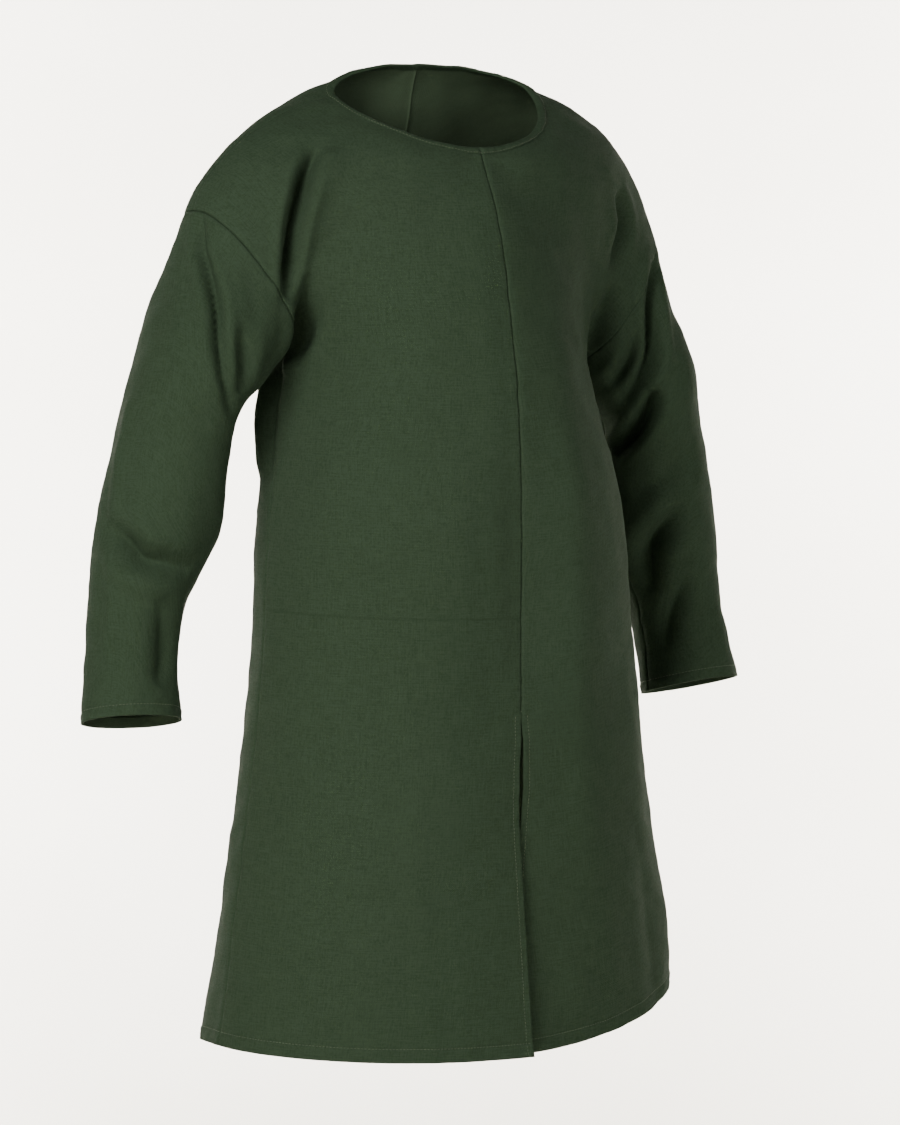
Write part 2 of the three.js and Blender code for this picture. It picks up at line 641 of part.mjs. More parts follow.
function bindingSection({ edge, edgeNormal, below, belowNormal }, ahead, behind) {
  const onFace = (share, lift) => {
    const middle = edge.clone().lerp(below, share);
    return middle.addScaledVector(edgeNormal.clone().lerp(belowNormal, share), CLOTH.wall / 2 + lift);
  };
  const round = ahead.edge.clone().sub(behind.edge).normalize();
  const up = edge.clone().sub(below).projectOnPlane(edgeNormal).projectOnPlane(round).normalize();
  const share = BINDING.width / Math.abs(edge.clone().sub(below).dot(up));
  const lifted = BINDING.clear + BINDING.thickness;
  const top = BINDING.top + BINDING.thickness;
  const atEdge = (lift, rise) =>
    edge.clone().addScaledVector(edgeNormal, CLOTH.wall / 2 + lift).addScaledVector(up, rise);
  return [
    onFace(share, BINDING.clear),
    atEdge(BINDING.clear, BINDING.top),
    atEdge(-CLOTH.wall, BINDING.top),
    atEdge(-CLOTH.wall, top),
    atEdge(lifted, top),
    onFace(share, lifted),
  ];
}

function bindingSolid() {
  const stations = neckStations();
  const count = stations.length;
  const rings = stations.map((station, i) =>
    bindingSection(station, stations[(i + 1) % count], stations[(i + count - 1) % count]),
  );
  const sides = rings[0].length;
  const index = [];
  for (let i = 0; i < count; i += 1) {
    for (let j = 0; j < sides; j += 1) {
      const a = i * sides + j;
      const b = i * sides + ((j + 1) % sides);
      const c = ((i + 1) % count) * sides + ((j + 1) % sides);
      const d = ((i + 1) % count) * sides + j;
      index.push(a, c, b, a, d, c);
    }
  }
  const positions = rings.flat().flatMap((p) => p.toArray());
  const geometry = new THREE.BufferGeometry();
  geometry.setAttribute('position', new THREE.Float32BufferAttribute(positions, 3));
  geometry.setIndex(index);
  return geometry;
}

pressCreases();

const tunic = new THREE.Group();
const cloth = (name) => {
  const { colour, roughness, metalness } = DYE;
  return new THREE.MeshStandardMaterial({ name, color: colour, roughness, metalness });
};
for (const [name, grid] of Object.entries(PIECES)) {
  const mesh = new THREE.Mesh(clothSolid(grid), cloth(name));
  mesh.name = name;
  tunic.add(mesh);
}
const binding = new THREE.Mesh(bindingSolid(), cloth('neck_binding'));
binding.name = 'neck_binding';
tunic.add(binding);

export default tunic;
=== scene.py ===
import math

import bpy
import numpy as np
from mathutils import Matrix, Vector
from mathutils.kdtree import KDTree


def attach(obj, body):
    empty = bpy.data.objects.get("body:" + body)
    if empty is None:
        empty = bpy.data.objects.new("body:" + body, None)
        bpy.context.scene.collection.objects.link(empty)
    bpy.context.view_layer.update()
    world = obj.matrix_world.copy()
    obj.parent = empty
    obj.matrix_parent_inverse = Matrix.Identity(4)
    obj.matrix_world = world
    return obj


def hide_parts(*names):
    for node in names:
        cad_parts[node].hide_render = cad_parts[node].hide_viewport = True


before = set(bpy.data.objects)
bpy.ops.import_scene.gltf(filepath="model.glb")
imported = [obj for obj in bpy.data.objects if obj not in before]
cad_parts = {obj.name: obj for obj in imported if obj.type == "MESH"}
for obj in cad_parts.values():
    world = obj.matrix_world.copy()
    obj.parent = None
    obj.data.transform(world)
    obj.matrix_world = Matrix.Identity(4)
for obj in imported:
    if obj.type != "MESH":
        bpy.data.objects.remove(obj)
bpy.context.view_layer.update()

# ---------------------------------------------------------------------------------------------------------
# The cloth: four half panels and two sleeves of heavy plain-weave cotton canvas, dyed dark green. They are
# sewn together at the centres, sides, shoulders, armholes and underarms, and hemmed by turning the edge once.
# The seams make one surface of them, so one set of sizes, in millimetres, shapes them all.

RIGHT, LEFT = -1, 1  # sign of x
# Body sections from hem to collar: half width at the side seams, depths at the centre seams, how full the
# corners are, how far the front seam strays to the left, and how much wider the left side hangs.
BODY = dict(
    z=[-1005, -860, -700, -540, -400, -290, -200, -120, -55],
    half_width=[268, 243, 221, 202, 199, 205, 185, 175, 165],
    front=[183, 179, 177, 177, 186, 175, 154, 131, 91],
    back=[175, 145, 136, 130, 132, 128, 118, 95, 64],
    square=[1.02, 1.03, 1.05, 1.07, 1.08, 1.08, 1.05, 1, 1],
    stray=[-1, 2, 2, 7, 2, 1, 3, 2, 0],
    left_extra=[5, 20, 10, 6, 6, 4, 4, 4, 4],
)
# Sleeve rings from armhole to cuff: the ring's centre, its two half sizes, and how many degrees both tilt up.
SLEEVE = dict(
    t=[0, 0.12, 0.25, 0.4, 0.55, 0.7, 0.85, 1],
    out=[222, 248, 276, 288, 300, 321, 335, 341],
    y=[10, 16, 14, 26, 28, 27, 29, 14],
    z=[-185, -239, -287, -351, -423, -483, -558, -627],
    outer=[86, 71, 57, 60, 64, 53, 46, 53],
    front=[67, 76, 73, 69, 63, 56, 51, 46],
    outer_tilt=[54, 48, 36, 29, 23, 18, 15, 4],
    front_tilt=[1, -2, 1, 6, 7, 16, 19, 14],
)
ARM_HANG = {RIGHT: ([0, 0, 0], [0, 0, 0]), LEFT: ([14, 34, -31], [-7, 5, 1])}  # moved at armhole, at cuff
NECK_HALF_WIDTH, NECK_FIRST_COLUMN = 117, 20
NECK = {  # the front edge, and the back one
    True: dict(reach=-93, rise=-55, curve=1.06, faces=(0, -0.83, 0.55)),
    False: dict(reach=30, rise=30, curve=1.0, faces=(0, 0.8, 0.6)),
}
NECK_SIDE_FACES = (0.24, -0.15, 0.96)
HEM = {"front": -966, "back": -995, RIGHT: -957, LEFT: -922}
CHEST_LINE = -285
UNDERARM_BLEND, UNDERARM_CORNER = 210, (0.1, 0.65, -0.65)
SIDE_SEAM_FORWARD = {RIGHT: 12, LEFT: 4}
SHOULDER = {RIGHT: (14, 1.01, 0.87), LEFT: (9, 1.15, 1.22)}  # slope at the neck, pull at arm and at neck
ROUNDNESS = 1.657  # end speed of a cubic that draws a quarter of an ellipse
SLIT_TOP = -620
SLIT = dict(  # how far its edges stand to the left, and how far the right one lies over the other
    z=[-975, -900, -800, -740, -680, SLIT_TOP],
    right=[6, 3, 0, -2, -3, 0],
    left=[-14, -10, -4, 3, 7, 0],
    lap=[8, 6, 4, 3, 1, 0],
)
COLUMNS, SKIRT_ROWS, CHEST_ROWS, NECK_ROWS, RINGS = 14, 10, 9, 8, 20
SETTLE_FROM = 0.85  # the lowest row that settles
SETTLE_JOINED, SETTLE_FREE = 70, 125  # degrees round the armhole over which panel and sleeve come apart
COLLAR_BLEND, NECK_BLEND = 160, 40  # the centre edges run into the neck over these heights


def hermite(a, b, slope_a, slope_b, t):
    t2, t3 = t * t, t**3
    ends = (2 * t3 - 3 * t2 + 1) * a + (t3 - 2 * t2 + t) * slope_a
    return ends + (3 * t2 - 2 * t3) * b + (t3 - t2) * slope_b


def along(table, key, column, value):
    """A smooth curve through one column of a table, read at a value of its key column."""
    keys, values = np.array(table[key], float), np.array(table[column], float)
    value = np.clip(value, keys[0], keys[-1])
    step = np.diff(keys)
    chord = np.diff(values) / step
    slope = np.empty_like(values)
    slope[1:-1] = (chord[:-1] * step[1:] + chord[1:] * step[:-1]) / (step[:-1] + step[1:])
    slope[0], slope[-1] = chord[0], chord[-1]
    i = np.clip(np.searchsorted(keys, value, side="right") - 1, 0, len(keys) - 2)
    t = (value - keys[i]) / step[i]
    return hermite(values[i], values[i + 1], slope[i] * step[i], slope[i + 1] * step[i], t)


def smooth(x):
    x = np.clip(x, 0, 1)
    return x * x * (3 - 2 * x)


def blend(a, b, t):
    return a + (b - a) * t


def unit(v):
    v = np.asarray(v, float)
    return v / np.maximum(np.linalg.norm(v, axis=-1, keepdims=True), 1e-9)


def point(*axes):
    return np.stack(np.broadcast_arrays(*[np.asarray(a, float) for a in axes]), -1)


def arm_point(t, angle, side):
    """A point of a sleeve's ring, with x growing away from the body."""
    at = lambda name: along(SLEEVE, "t", name, t)
    top, cuff = ARM_HANG[side]
    hang = [blend(a, b, t) for a, b in zip(top, cuff)]
    outer_tilt, front_tilt = np.radians(at("outer_tilt")), np.radians(at("front_tilt"))
    outer, front = at("outer") * np.cos(angle), at("front") * np.sin(angle)
    return point(
        at("out") + hang[0] + outer * np.cos(outer_tilt),
        at("y") + hang[1] - front * np.cos(front_tilt),
        at("z") + hang[2] + outer * np.sin(outer_tilt) + front * np.sin(front_tilt),
    )


def neck_point(angle, front):
    edge, cosine = NECK[front], np.maximum(np.cos(angle), 0)
    y, z = edge["reach"] * cosine, edge["rise"] * cosine ** edge["curve"]
    return point(NECK_HALF_WIDTH * np.sin(angle), y, z)


def slow_start(x):
    return x * x * (2 - x)


def arm_angle(v):
    return np.pi * (1 - slow_start(np.clip((v - 1) / 2, 0, 1)))


def neck_angle(v):
    return np.pi / 2 * slow_start(np.clip(v - 2, 0, 1))


def centre_height(v, front):
    top, hem = NECK[front]["rise"], HEM["front" if front else "back"]
    rise = 0.4 * (top - hem)
    below = hermite(hem, CHEST_LINE, CHEST_LINE - hem, rise, np.clip(v, 0, 1))
    return np.where(v < 1, below, hermite(CHEST_LINE, top, rise, 0, np.clip(v - 1, 0, 1)))


def outer_edge(v, side, front):
    """Side seam up to the underarm, then the armhole up to the shoulder."""
    underarm = arm_point(0.0, np.pi, side)
    z = hermite(HEM[side], underarm[2], CHEST_LINE - HEM[side], 0, np.clip(v, 0, 1))
    width = along(BODY, "z", "half_width", z) + (along(BODY, "z", "left_extra", z) if side == LEFT else 0)
    tuck = smooth((z - underarm[2]) / UNDERARM_BLEND + 1)
    forward = SIDE_SEAM_FORWARD[side] * (1 - tuck)
    seam = point(blend(width, underarm[0], tuck), underarm[1] * tuck - forward, z)
    angle = arm_angle(v)
    return np.where(v[..., None] < 1, seam, arm_point(0.0, angle if front else -angle, side))


def centre_edge(v, side, front):
    """Centre seam up to the neck, then the neck edge round to its side point."""
    facing, depth = (-1, "front") if front else (1, "back")
    z = centre_height(v, front)
    neck = neck_point(0.0, front)
    y = facing * along(BODY, "z", depth, z)
    y = y + (neck[1] - facing * along(BODY, "z", depth, neck[2])) * smooth((z - neck[2]) / COLLAR_BLEND + 1)
    x = np.zeros_like(y)
    if front:
        x = side * along(BODY, "z", "stray", z) * smooth((neck[2] - z) / NECK_BLEND)
        x = x + side * along(SLIT, "z", "right" if side == RIGHT else "left", z)
        y = y - (1 if side == RIGHT else -0.9) * along(SLIT, "z", "lap", z)
    return np.where(v[..., None] < 2, point(x, y, z), neck_point(neck_angle(v), front))


def panel_points(u, v, side, front):
    outer, centre = outer_edge(v, side, front), centre_edge(v, side, front)
    facing = -1 if front else 1
    corner = np.array([1, facing, 1]) * UNDERARM_CORNER
    away = blend(np.array([0, facing, 0.0]), corner, smooth(2 * v - 1)[..., None])
    full = (ROUNDNESS * along(BODY, "z", "square", centre[..., 2]))[..., None]
    low_out = unit(away) * full * np.abs(centre[..., 1] - outer[..., 1])[..., None]
    low_in = point(-1, 0, 0) * full * np.abs(outer[..., 0] - centre[..., 0])[..., None]
    slope, arm_pull, neck_pull = SHOULDER[side]
    angle = arm_angle(v) if front else -arm_angle(v)
    span = np.linalg.norm(outer - centre, axis=-1)[..., None]
    high_out = unit(arm_point(0.0, angle, side) - arm_point(0.1, angle, side)) * span * arm_pull
    high_in = point(-math.cos(math.radians(slope)), 0, math.sin(math.radians(slope))) * span * neck_pull
    skirt = v[..., None] < 1
    leave, arrive = np.where(skirt, low_out, high_out), np.where(skirt, low_in, high_in)
    places = hermite(outer, centre, leave, arrive, u[..., None])
    return places * [side, 1, 1]


def row_values():
    """The rows of every panel, with one at the slit's top."""
    low, high = 0.0, 1.0
    for _ in range(40):
        middle = (low + high) / 2
        low, high = (middle, high) if centre_height(np.array(middle), True) < SLIT_TOP else (low, middle)
    below = round(SKIRT_ROWS * low)
    skirt = [np.linspace(0, low, below + 1), np.linspace(low, 1, SKIRT_ROWS - below + 1)[1:]]
    chest, shoulder = np.linspace(1, 2, CHEST_ROWS + 1)[2:], np.linspace(2, 3, NECK_ROWS + 1)[1:]
    return np.concatenate([*skirt, chest, shoulder])


ROWS = row_values()


def panel_grid(side, front):
    u, v = np.meshgrid(np.linspace(0, 1, COLUMNS + 1), ROWS)
    grid = panel_points(u, v, side, front)
    last_step = np.linalg.norm(grid[-1, -2] - grid[-1, -1])
    for i in np.flatnonzero((ROWS >= 2) & (ROWS < 3)):
        share, angle = slow_start(ROWS[i] - 2), neck_angle(ROWS[i])
        faces = unit(blend(unit(NECK[front]["faces"]), unit(NECK_SIDE_FACES), share))
        ring = neck_point(angle + 1e-3, front) - neck_point(max(angle - 1e-3, 0), front)
        ring = unit(ring - faces * (ring @ faces))
        down = np.cross(ring, faces)
        down = down if down[2] < 0 else -down
        turn = math.radians(45 + 45 * smooth(ROWS[i] - 2))
        step = (math.cos(turn) * ring + math.sin(turn) * down) * blend(NECK_FIRST_COLUMN, last_step, share)
        grid[i, -2] = (neck_point(angle, front) + step) * [side, 1, 1]
    return grid


def sleeve_grid(side):
    over_front = arm_angle(ROWS[ROWS >= 1])[::-1]
    angles = np.concatenate([over_front, 2 * np.pi - over_front[::-1][1:-1]])
    t, angle = np.meshgrid(np.linspace(0, 1, RINGS + 1), angles, indexing="ij")
    return arm_point(t, angle, side) * [side, 1, 1]


PIECES = ["front_right", "front_left", "back_right", "back_left", "sleeve_right", "sleeve_left"]
SIDE = {name: RIGHT if name.endswith("right") else LEFT for name in PIECES}
FRONT = {name: name.startswith("front") for name in PIECES}
TURN = {name: SIDE[name] * (-1 if FRONT[name] else 1) for name in PIECES}
CLOSED = {name: name.startswith("sleeve") for name in PIECES}


def sew(grids):
    """One net of all the pieces, each seam point held once, and each piece's grid of the points' numbers."""
    every = np.concatenate([grid.reshape(-1, 3) for grid in grids.values()])
    _, first, number = np.unique(np.round(every, 2), axis=0, return_index=True, return_inverse=True)
    numbers, start = {}, 0
    for name, grid in grids.items():
        count = grid.shape[0] * grid.shape[1]
        numbers[name] = number.reshape(-1)[start : start + count].reshape(grid.shape[:2])
        start += count
    return every[first], numbers


def settle(net, numbers):
    """Moves the free points of the chest and shoulders so that the whole surface bends as little as it can."""
    count = len(net)
    near = [set() for _ in range(count)]
    free, weight = np.zeros(count, bool), np.zeros(count)
    for name, grid in numbers.items():
        pairs = [(grid[:-1].ravel(), grid[1:].ravel()), (grid[:, :-1].ravel(), grid[:, 1:].ravel())]
        if CLOSED[name]:
            pairs.append((grid[:, -1], grid[:, 0]))
        for a, b in ((a, b) for one, other in pairs for a, b in zip(one, other)):
            near[a].add(b)
            near[b].add(a)
    for name, grid in numbers.items():
        if CLOSED[name]:
            continue
        for i, v in enumerate(ROWS):
            if v <= SETTLE_FROM:
                continue
            for j, node in enumerate(grid[i]):
                from_centre = COLUMNS - j
                if i == len(ROWS) - 1 or (j == 0 and v >= 1):
                    free[node] = False
                elif v >= 2:
                    free[node] = from_centre > 1
                else:
                    free[node] = from_centre > 0 or name.startswith("back")
                weight[node] = 1
                if j == 0 and v >= 1:
                    degrees = math.degrees(arm_angle(v))
                    weight[node] = smooth((SETTLE_FREE - degrees) / (SETTLE_FREE - SETTLE_JOINED))
                if j == COLUMNS and v >= 2:
                    weight[node] = 0
    bend = np.zeros((count, count))
    for node, beside in enumerate(near):
        bend[node, node] = -weight[node]
        bend[node, list(beside)] += weight[node] / len(beside)
    moving = bend[:, free]
    net[free] = np.linalg.solve(moving.T @ moving, -moving.T @ (bend[:, ~free] @ net[~free]))


def cells(grid, closed):
    wide = np.concatenate([grid, grid[:, :1]], 1) if closed else grid
    return np.stack([wide[:-1, :-1], wide[:-1, 1:], wide[1:, 1:], wide[1:, :-1]], -1)


def refine(net, numbers):
    """One round of smooth subdivision over the whole sewn net, so that the seams stay smooth."""
    faces = {name: cells(grid, CLOSED[name]) for name, grid in numbers.items()}
    quads = np.concatenate([f.reshape(-1, 4) for f in faces.values()])
    count = len(net)
    middles = net[quads].mean(1)
    ends = np.sort(np.stack([quads, np.roll(quads, -1, 1)], -1).reshape(-1, 2), 1)
    edges, which = np.unique(ends, axis=0, return_inverse=True)
    which = which.reshape(-1)
    beside = np.bincount(which, minlength=len(edges))
    face_sum = np.zeros((len(edges), 3))
    np.add.at(face_sum, which, np.repeat(middles, 4, 0))
    halves = net[edges].mean(1)
    inner = beside == 2
    edge_points = np.where(inner[:, None], (halves * 2 + face_sum) / 4, halves)
    around, faces_near, edge_near = np.zeros(count), np.zeros((count, 3)), np.zeros((count, 3))
    np.add.at(around, quads.ravel(), 1)
    np.add.at(faces_near, quads.ravel(), np.repeat(middles, 4, 0))
    valence = np.bincount(edges.ravel(), minlength=count)
    np.add.at(edge_near, edges.ravel(), np.repeat(halves, 2, 0))
    n = np.maximum(valence, 1)[:, None]
    moved = (faces_near / np.maximum(around, 1)[:, None] + 2 * edge_near / n + (n - 3) * net) / n
    rim = edges[~inner]
    rim_sum, rim_count = np.zeros((count, 3)), np.bincount(rim.ravel(), minlength=count)
    np.add.at(rim_sum, rim.ravel(), net[rim[:, ::-1].ravel()])
    on_rim = rim_count == 2
    moved[on_rim] = (6 * net[on_rim] + rim_sum[on_rim]) / 8
    held = (around == 1) | (rim_count > 2) | (on_rim & (around > 3))  # corners, and the top of the slit
    moved[held] = net[held]
    numbers_of = {tuple(edge): count + i for i, edge in enumerate(edges.tolist())}
    finer, first_face = {}, count + len(edges)
    for name, grid in numbers.items():
        rows, columns = grid.shape
        closed = CLOSED[name]
        new = np.zeros((2 * rows - 1, 2 * columns if closed else 2 * columns - 1), int)
        new[::2, ::2] = grid
        right = np.roll(grid, -1, 1) if closed else grid[:, 1:]
        left = grid if closed else grid[:, :-1]
        middle = lambda p, q: numbers_of[(min(p, q), max(p, q))]
        lookup = lambda a, b: [[middle(p, q) for p, q in zip(x, y)] for x, y in zip(a, b)]
        new[::2, 1::2] = lookup(left.tolist(), right.tolist())
        new[1::2, ::2] = lookup(grid[:-1].tolist(), grid[1:].tolist())
        size = faces[name].shape[0] * faces[name].shape[1]
        new[1::2, 1::2] = (first_face + np.arange(size)).reshape(faces[name].shape[:2])
        first_face += size
        finer[name] = new
    return np.concatenate([moved, edge_points, middles]), finer


net, numbers = sew(
    {
        "front_right": panel_grid(RIGHT, True),
        "front_left": panel_grid(LEFT, True),
        "back_right": panel_grid(RIGHT, False),
        "back_left": panel_grid(LEFT, False),
        "sleeve_right": sleeve_grid(RIGHT),
        "sleeve_left": sleeve_grid(LEFT),
    }
)
settle(net, numbers)
coarse = {name: net[grid] for name, grid in numbers.items()}
for _ in range(2):
    net, numbers = refine(net, numbers)


def outward(net, numbers, names):
    normals = np.zeros_like(net)
    for name in names:
        quads = cells(numbers[name], CLOSED[name])
        a, b, c, d = [net[quads[..., k]] for k in range(4)]
        normal = np.cross(c - a, d - b) * TURN[name]
        for k in range(4):
            np.add.at(normals, quads[..., k], normal)
    return unit(normals)


def facing(net, numbers):
    """Outward directions; where a sleeve meets the body they lie halfway between the two."""
    return unit(sum(outward(net, numbers, n) for n in (PIECES[:4], PIECES[4:5], PIECES[5:])))


# Creases: each is a trough along a route over one piece, with its half width and its depth, or a
# ridge if the depth is negative. A route's places are (u, v) on a panel, with u 0 at the side and 1 at the
# centre, and v 0 at the hem, 1 at the underarm, 2 at the neck and 3 at the shoulder, or (down the sleeve from
# 0 to 1, degrees round it).
CREASES = [
    # the chest and shoulder, front and back
    ("front_right", [(0.6, 2.6), (0.45, 2.44), (0.33, 2.3), (0.2, 2.17), (0.08, 2.04), (0.02, 1.99)], 7, 26),
    ("front_right", [(0.65, 2.55), (0.47, 2.31), (0.3, 2.12)], 12, -5),
    ("front_right", [(0.13, 1.85), (0.23, 1.93), (0.35, 1.92), (0.46, 1.86)], 18, 5),
    ("front_right", [(0.17, 1.88), (0.1, 1.72), (0.04, 1.5), (0.0, 1.15)], 10, 18),
    ("front_right", [(0.2, 1.64), (0.1, 1.45), (0.03, 1.05)], 11, 7),
    ("front_right", [(0.3, 1.5), (0.16, 1.3), (0.06, 1.02)], 16, 4),
    ("front_left", [(0.4, 2.4), (0.26, 2.28), (0.2, 2)], 10, 13),
    ("front_left", [(0.16, 1.98), (0.1, 1.88), (0.05, 1.6)], 10, 11),
    ("front_left", [(0.2, 1.75), (0.09, 1.5), (0.03, 1.15)], 12, 7),
    ("back_right", [(0.45, 2.4), (0.27, 2.2), (0.13, 1.95)], 13, 11),
    ("back_right", [(0.16, 1.8), (0.12, 1.6), (0.14, 1.3)], 15, 8),
    ("back_right", [(0.3, 1.62), (0.2, 1.4), (0.17, 1.1)], 18, 5),
    ("back_left", [(0.42, 2.45), (0.25, 2.24), (0.1, 2)], 12, 12),
    ("back_left", [(0.2, 1.85), (0.13, 1.65), (0.12, 1.35)], 14, 8),
    ("back_left", [(0.34, 1.7), (0.24, 1.45), (0.2, 1.15)], 19, 5),
    # the sides and the skirt
    ("back_right", [(0.03, 1.02), (0.05, 0.92), (0.05, 0.8), (0.03, 0.66)], 9, 10),
    ("back_right", [(0.13, 1), (0.15, 0.92), (0.15, 0.8), (0.12, 0.68)], 19, -14),
    ("back_right", [(0.2, 0.95), (0.24, 0.8), (0.22, 0.6)], 20, 7),
    ("back_left", [(0.06, 0.93), (0.1, 0.74), (0.16, 0.5)], 22, 8),
    ("back_right", [(0.5, 0), (0.5, 0.2), (0.46, 0.5)], 34, 7),
    ("back_left", [(0.42, 0), (0.44, 0.25), (0.5, 0.55)], 36, 8),
    ("front_left", [(0.45, 0), (0.47, 0.12), (0.52, 0.3)], 34, 5),
    ("front_right", [(1, 1.8), (1, 1.4), (1, 0.95), (1, 0.5)], 52, 9),
    ("front_right", [(1, 1), (1, 0.6), (1, 0.3), (1, 0)], 90, 11),
    ("front_left", [(0.8, 1.2), (0.8, 0.8), (0.78, 0.4), (0.76, 0)], 36, -6),
    ("front_right", [(0.62, 0.7), (0.5, 0.4), (0.42, 0.1)], 40, 2.5),
    ("front_right", [(0.82, 1.4), (0.72, 1.05), (0.6, 0.75)], 30, 2),
    # sleeves: the cap, the underarm, the elbow and the forearm
    ("sleeve_right", [(0, 13), (0.055, 23), (0.085, 38), (0.133, 57), (0.17, 66), (0.245, 92), (0.3, 120)], 6, 17),
    ("sleeve_right", [(0.0, 60), (0.06, 84), (0.12, 104), (0.16, 126)], 12, 3),
    ("sleeve_right", [(0.11, 80), (0.16, 97), (0.2, 110), (0.24, 122)], 9, 13),
    ("sleeve_right", [(0.04, 120), (0.12, 135), (0.2, 140)], 11, 3),
    ("sleeve_right", [(0.62, 8), (0.67, 38), (0.705, 68), (0.69, 128)], 11, 20),
    ("sleeve_right", [(0.77, 92), (0.84, 112), (0.89, 112), (0.94, 95)], 13, 11),
    ("sleeve_right", [(0.36, -3), (0.42, 3), (0.63, 17), (0.78, 29), (0.95, 27)], 9, -3.5),
    ("sleeve_right", [(0.02, 330), (0.14, 300), (0.24, 280)], 14, 9),
    ("sleeve_right", [(0.3, 300), (0.38, 260), (0.42, 225)], 18, 5),
    ("sleeve_right", [(0.6, 170), (0.64, 215), (0.6, 260)], 13, 9),
    ("sleeve_right", [(0.52, 175), (0.54, 200), (0.5, 232)], 12, 6),
    ("sleeve_left", [(0.005, 50), (0.04, 74), (0.1, 91), (0.14, 118), (0.18, 145)], 8, 25),
    ("sleeve_left", [(0.04, 97), (0.075, 112), (0.09, 126), (0.1, 142)], 7.5, 20),
    ("sleeve_left", [(0.18, 108), (0.22, 126), (0.25, 143)], 8, 6),
    ("sleeve_left", [(0.2, 112), (0.25, 128), (0.3, 146), (0.35, 164)], 7.5, 22),
    ("sleeve_left", [(0.42, 70), (0.46, 100), (0.47, 144)], 15, 7),
    ("sleeve_left", [(0.55, 92), (0.6, 118), (0.66, 145), (0.76, 158)], 12, 19),
    ("sleeve_left", [(0.76, 108), (0.8, 126), (0.84, 140), (0.91, 150)], 10, 8),
    ("sleeve_left", [(0.03, 325), (0.15, 295), (0.26, 270)], 14, 9),
    ("sleeve_left", [(0.36, 290), (0.42, 250), (0.45, 220)], 17, 5),
    ("sleeve_left", [(0.62, 175), (0.66, 220), (0.62, 262)], 14, 9),
]


def on_piece(name, a, b):
    if CLOSED[name]:
        return arm_point(a, math.radians(b), SIDE[name]) * [SIDE[name], 1, 1]
    grid = coarse[name]
    row = np.interp(b, ROWS, np.arange(len(ROWS)))
    i, j = min(int(row), len(ROWS) - 2), min(int(a * COLUMNS), COLUMNS - 1)
    across, up = a * COLUMNS - j, row - i
    low, high = [blend(grid[k, j], grid[k, j + 1], across) for k in (i, i + 1)]
    return blend(low, high, up)


def curve_through(points, count):
    """A smooth curve through a few points, as count + 1 points."""
    points = np.asarray(points, float)
    ends = [2 * points[0] - points[1], *points, 2 * points[-1] - points[-2]]
    out = []
    for s in np.linspace(0, len(points) - 1, count + 1):
        i = min(int(s), len(points) - 2)
        a, b, c, d = ends[i : i + 4]
        out.append(hermite(b, c, (c - a) / 2, (d - b) / 2, s - i))
    return np.array(out)


def crease_line(name, route):
    return np.array([on_piece(name, *place) for place in curve_through(route, 10)])


def crease_depth(places, lines):
    """How far the creases press these places in. A trough has low shoulders beside it and fades at its ends."""
    total = np.zeros(len(places))
    for line, width, depth in lines:
        reach = 3 * width
        inside = (places > line.min(0) - reach) & (places < line.max(0) + reach)
        close = np.flatnonzero(np.all(inside, axis=1))
        if not len(close):
            continue
        here = places[close]
        best, place = np.full(len(close), np.inf), np.zeros(len(close))
        for i, (a, b) in enumerate(zip(line[:-1], line[1:])):
            step = b - a
            t = np.clip((here - a) @ step / (step @ step), 0, 1)
            far = np.linalg.norm(here - a - t[:, None] * step, axis=1)
            nearer = far < best
            best[nearer], place[nearer] = far[nearer], (i + t[nearer]) / (len(line) - 1)
        fade, far = 0.08 + 0.92 * np.sin(np.pi * place) ** 0.7, best / width
        dip = np.exp(-(far**2)) if depth < 0 else np.exp(-(far**1.5)) - 0.2 * np.exp(-((far - 2.1) ** 2))
        total[close] += depth * fade * dip
    return total


def waves(places, size, seed, count=9):
    """Soft uneven undulations of about one size, the same wherever two pieces meet."""
    rng = np.random.default_rng(seed)
    total = np.zeros(places.shape[:-1])
    for _ in range(count):
        way = unit(rng.normal(size=3))
        length, start = size * rng.uniform(0.7, 1.5), rng.uniform(0, 2 * np.pi)
        total += np.cos(2 * np.pi * (places @ way) / length + start)
    return total / math.sqrt(count / 2)


normals = facing(net, numbers)

# How the cloth is laid out in the mesh: the distance between points, and closer ones at seams, hems and cuffs.
SPACING = 2.9
EDGE_STEPS = [0, 0.8, 1.8, 3.2, 5, 7.2]
HEM_STEPS = [0, 0.7, 1.8, 3.5, 6, 9, 11.5, 13, 14, 15, 16, 17.5, 20]
CUFF_STEPS = [0, 0.7, 1.8, 3.5, 6, 8.5, 10, 11, 12, 13.5, 16]
CLOTH = 1.2  # thickness
HEM_TURN = {"hem": 14, "cuff": 11, "slit": 7}  # how deep each edge is turned in
DRAPE = ((0.9, 130, 3), (0.4, 45, 5))  # unevenness of the hanging cloth: height, size and seed


def read_grid(grid, at, closed=False):
    """Reads rows of a grid at fractional row numbers, on a cubic curve through them."""
    at = np.asarray(at, float)
    if closed:
        padded = np.concatenate([grid[-1:], grid, grid[:2]])
    else:
        padded = np.concatenate([2 * grid[:1] - grid[1:2], grid, 2 * grid[-1:] - grid[-2:-1]])
    i = np.clip(np.floor(at).astype(int), 0, len(padded) - 4)
    t = (at - i).reshape(-1, *([1] * (grid.ndim - 1)))
    a, b, c, d = [padded[i + k] for k in range(4)]
    return hermite(b, c, (c - a) / 2, (d - b) / 2, t)


def lengths(grid, axis):
    """Running length along an axis of a grid, from its start."""
    steps = np.linalg.norm(np.diff(grid, axis=axis), axis=-1)
    zero = np.zeros_like(np.take(steps, [0], axis))
    return np.cumsum(np.concatenate([zero, steps], axis), axis)


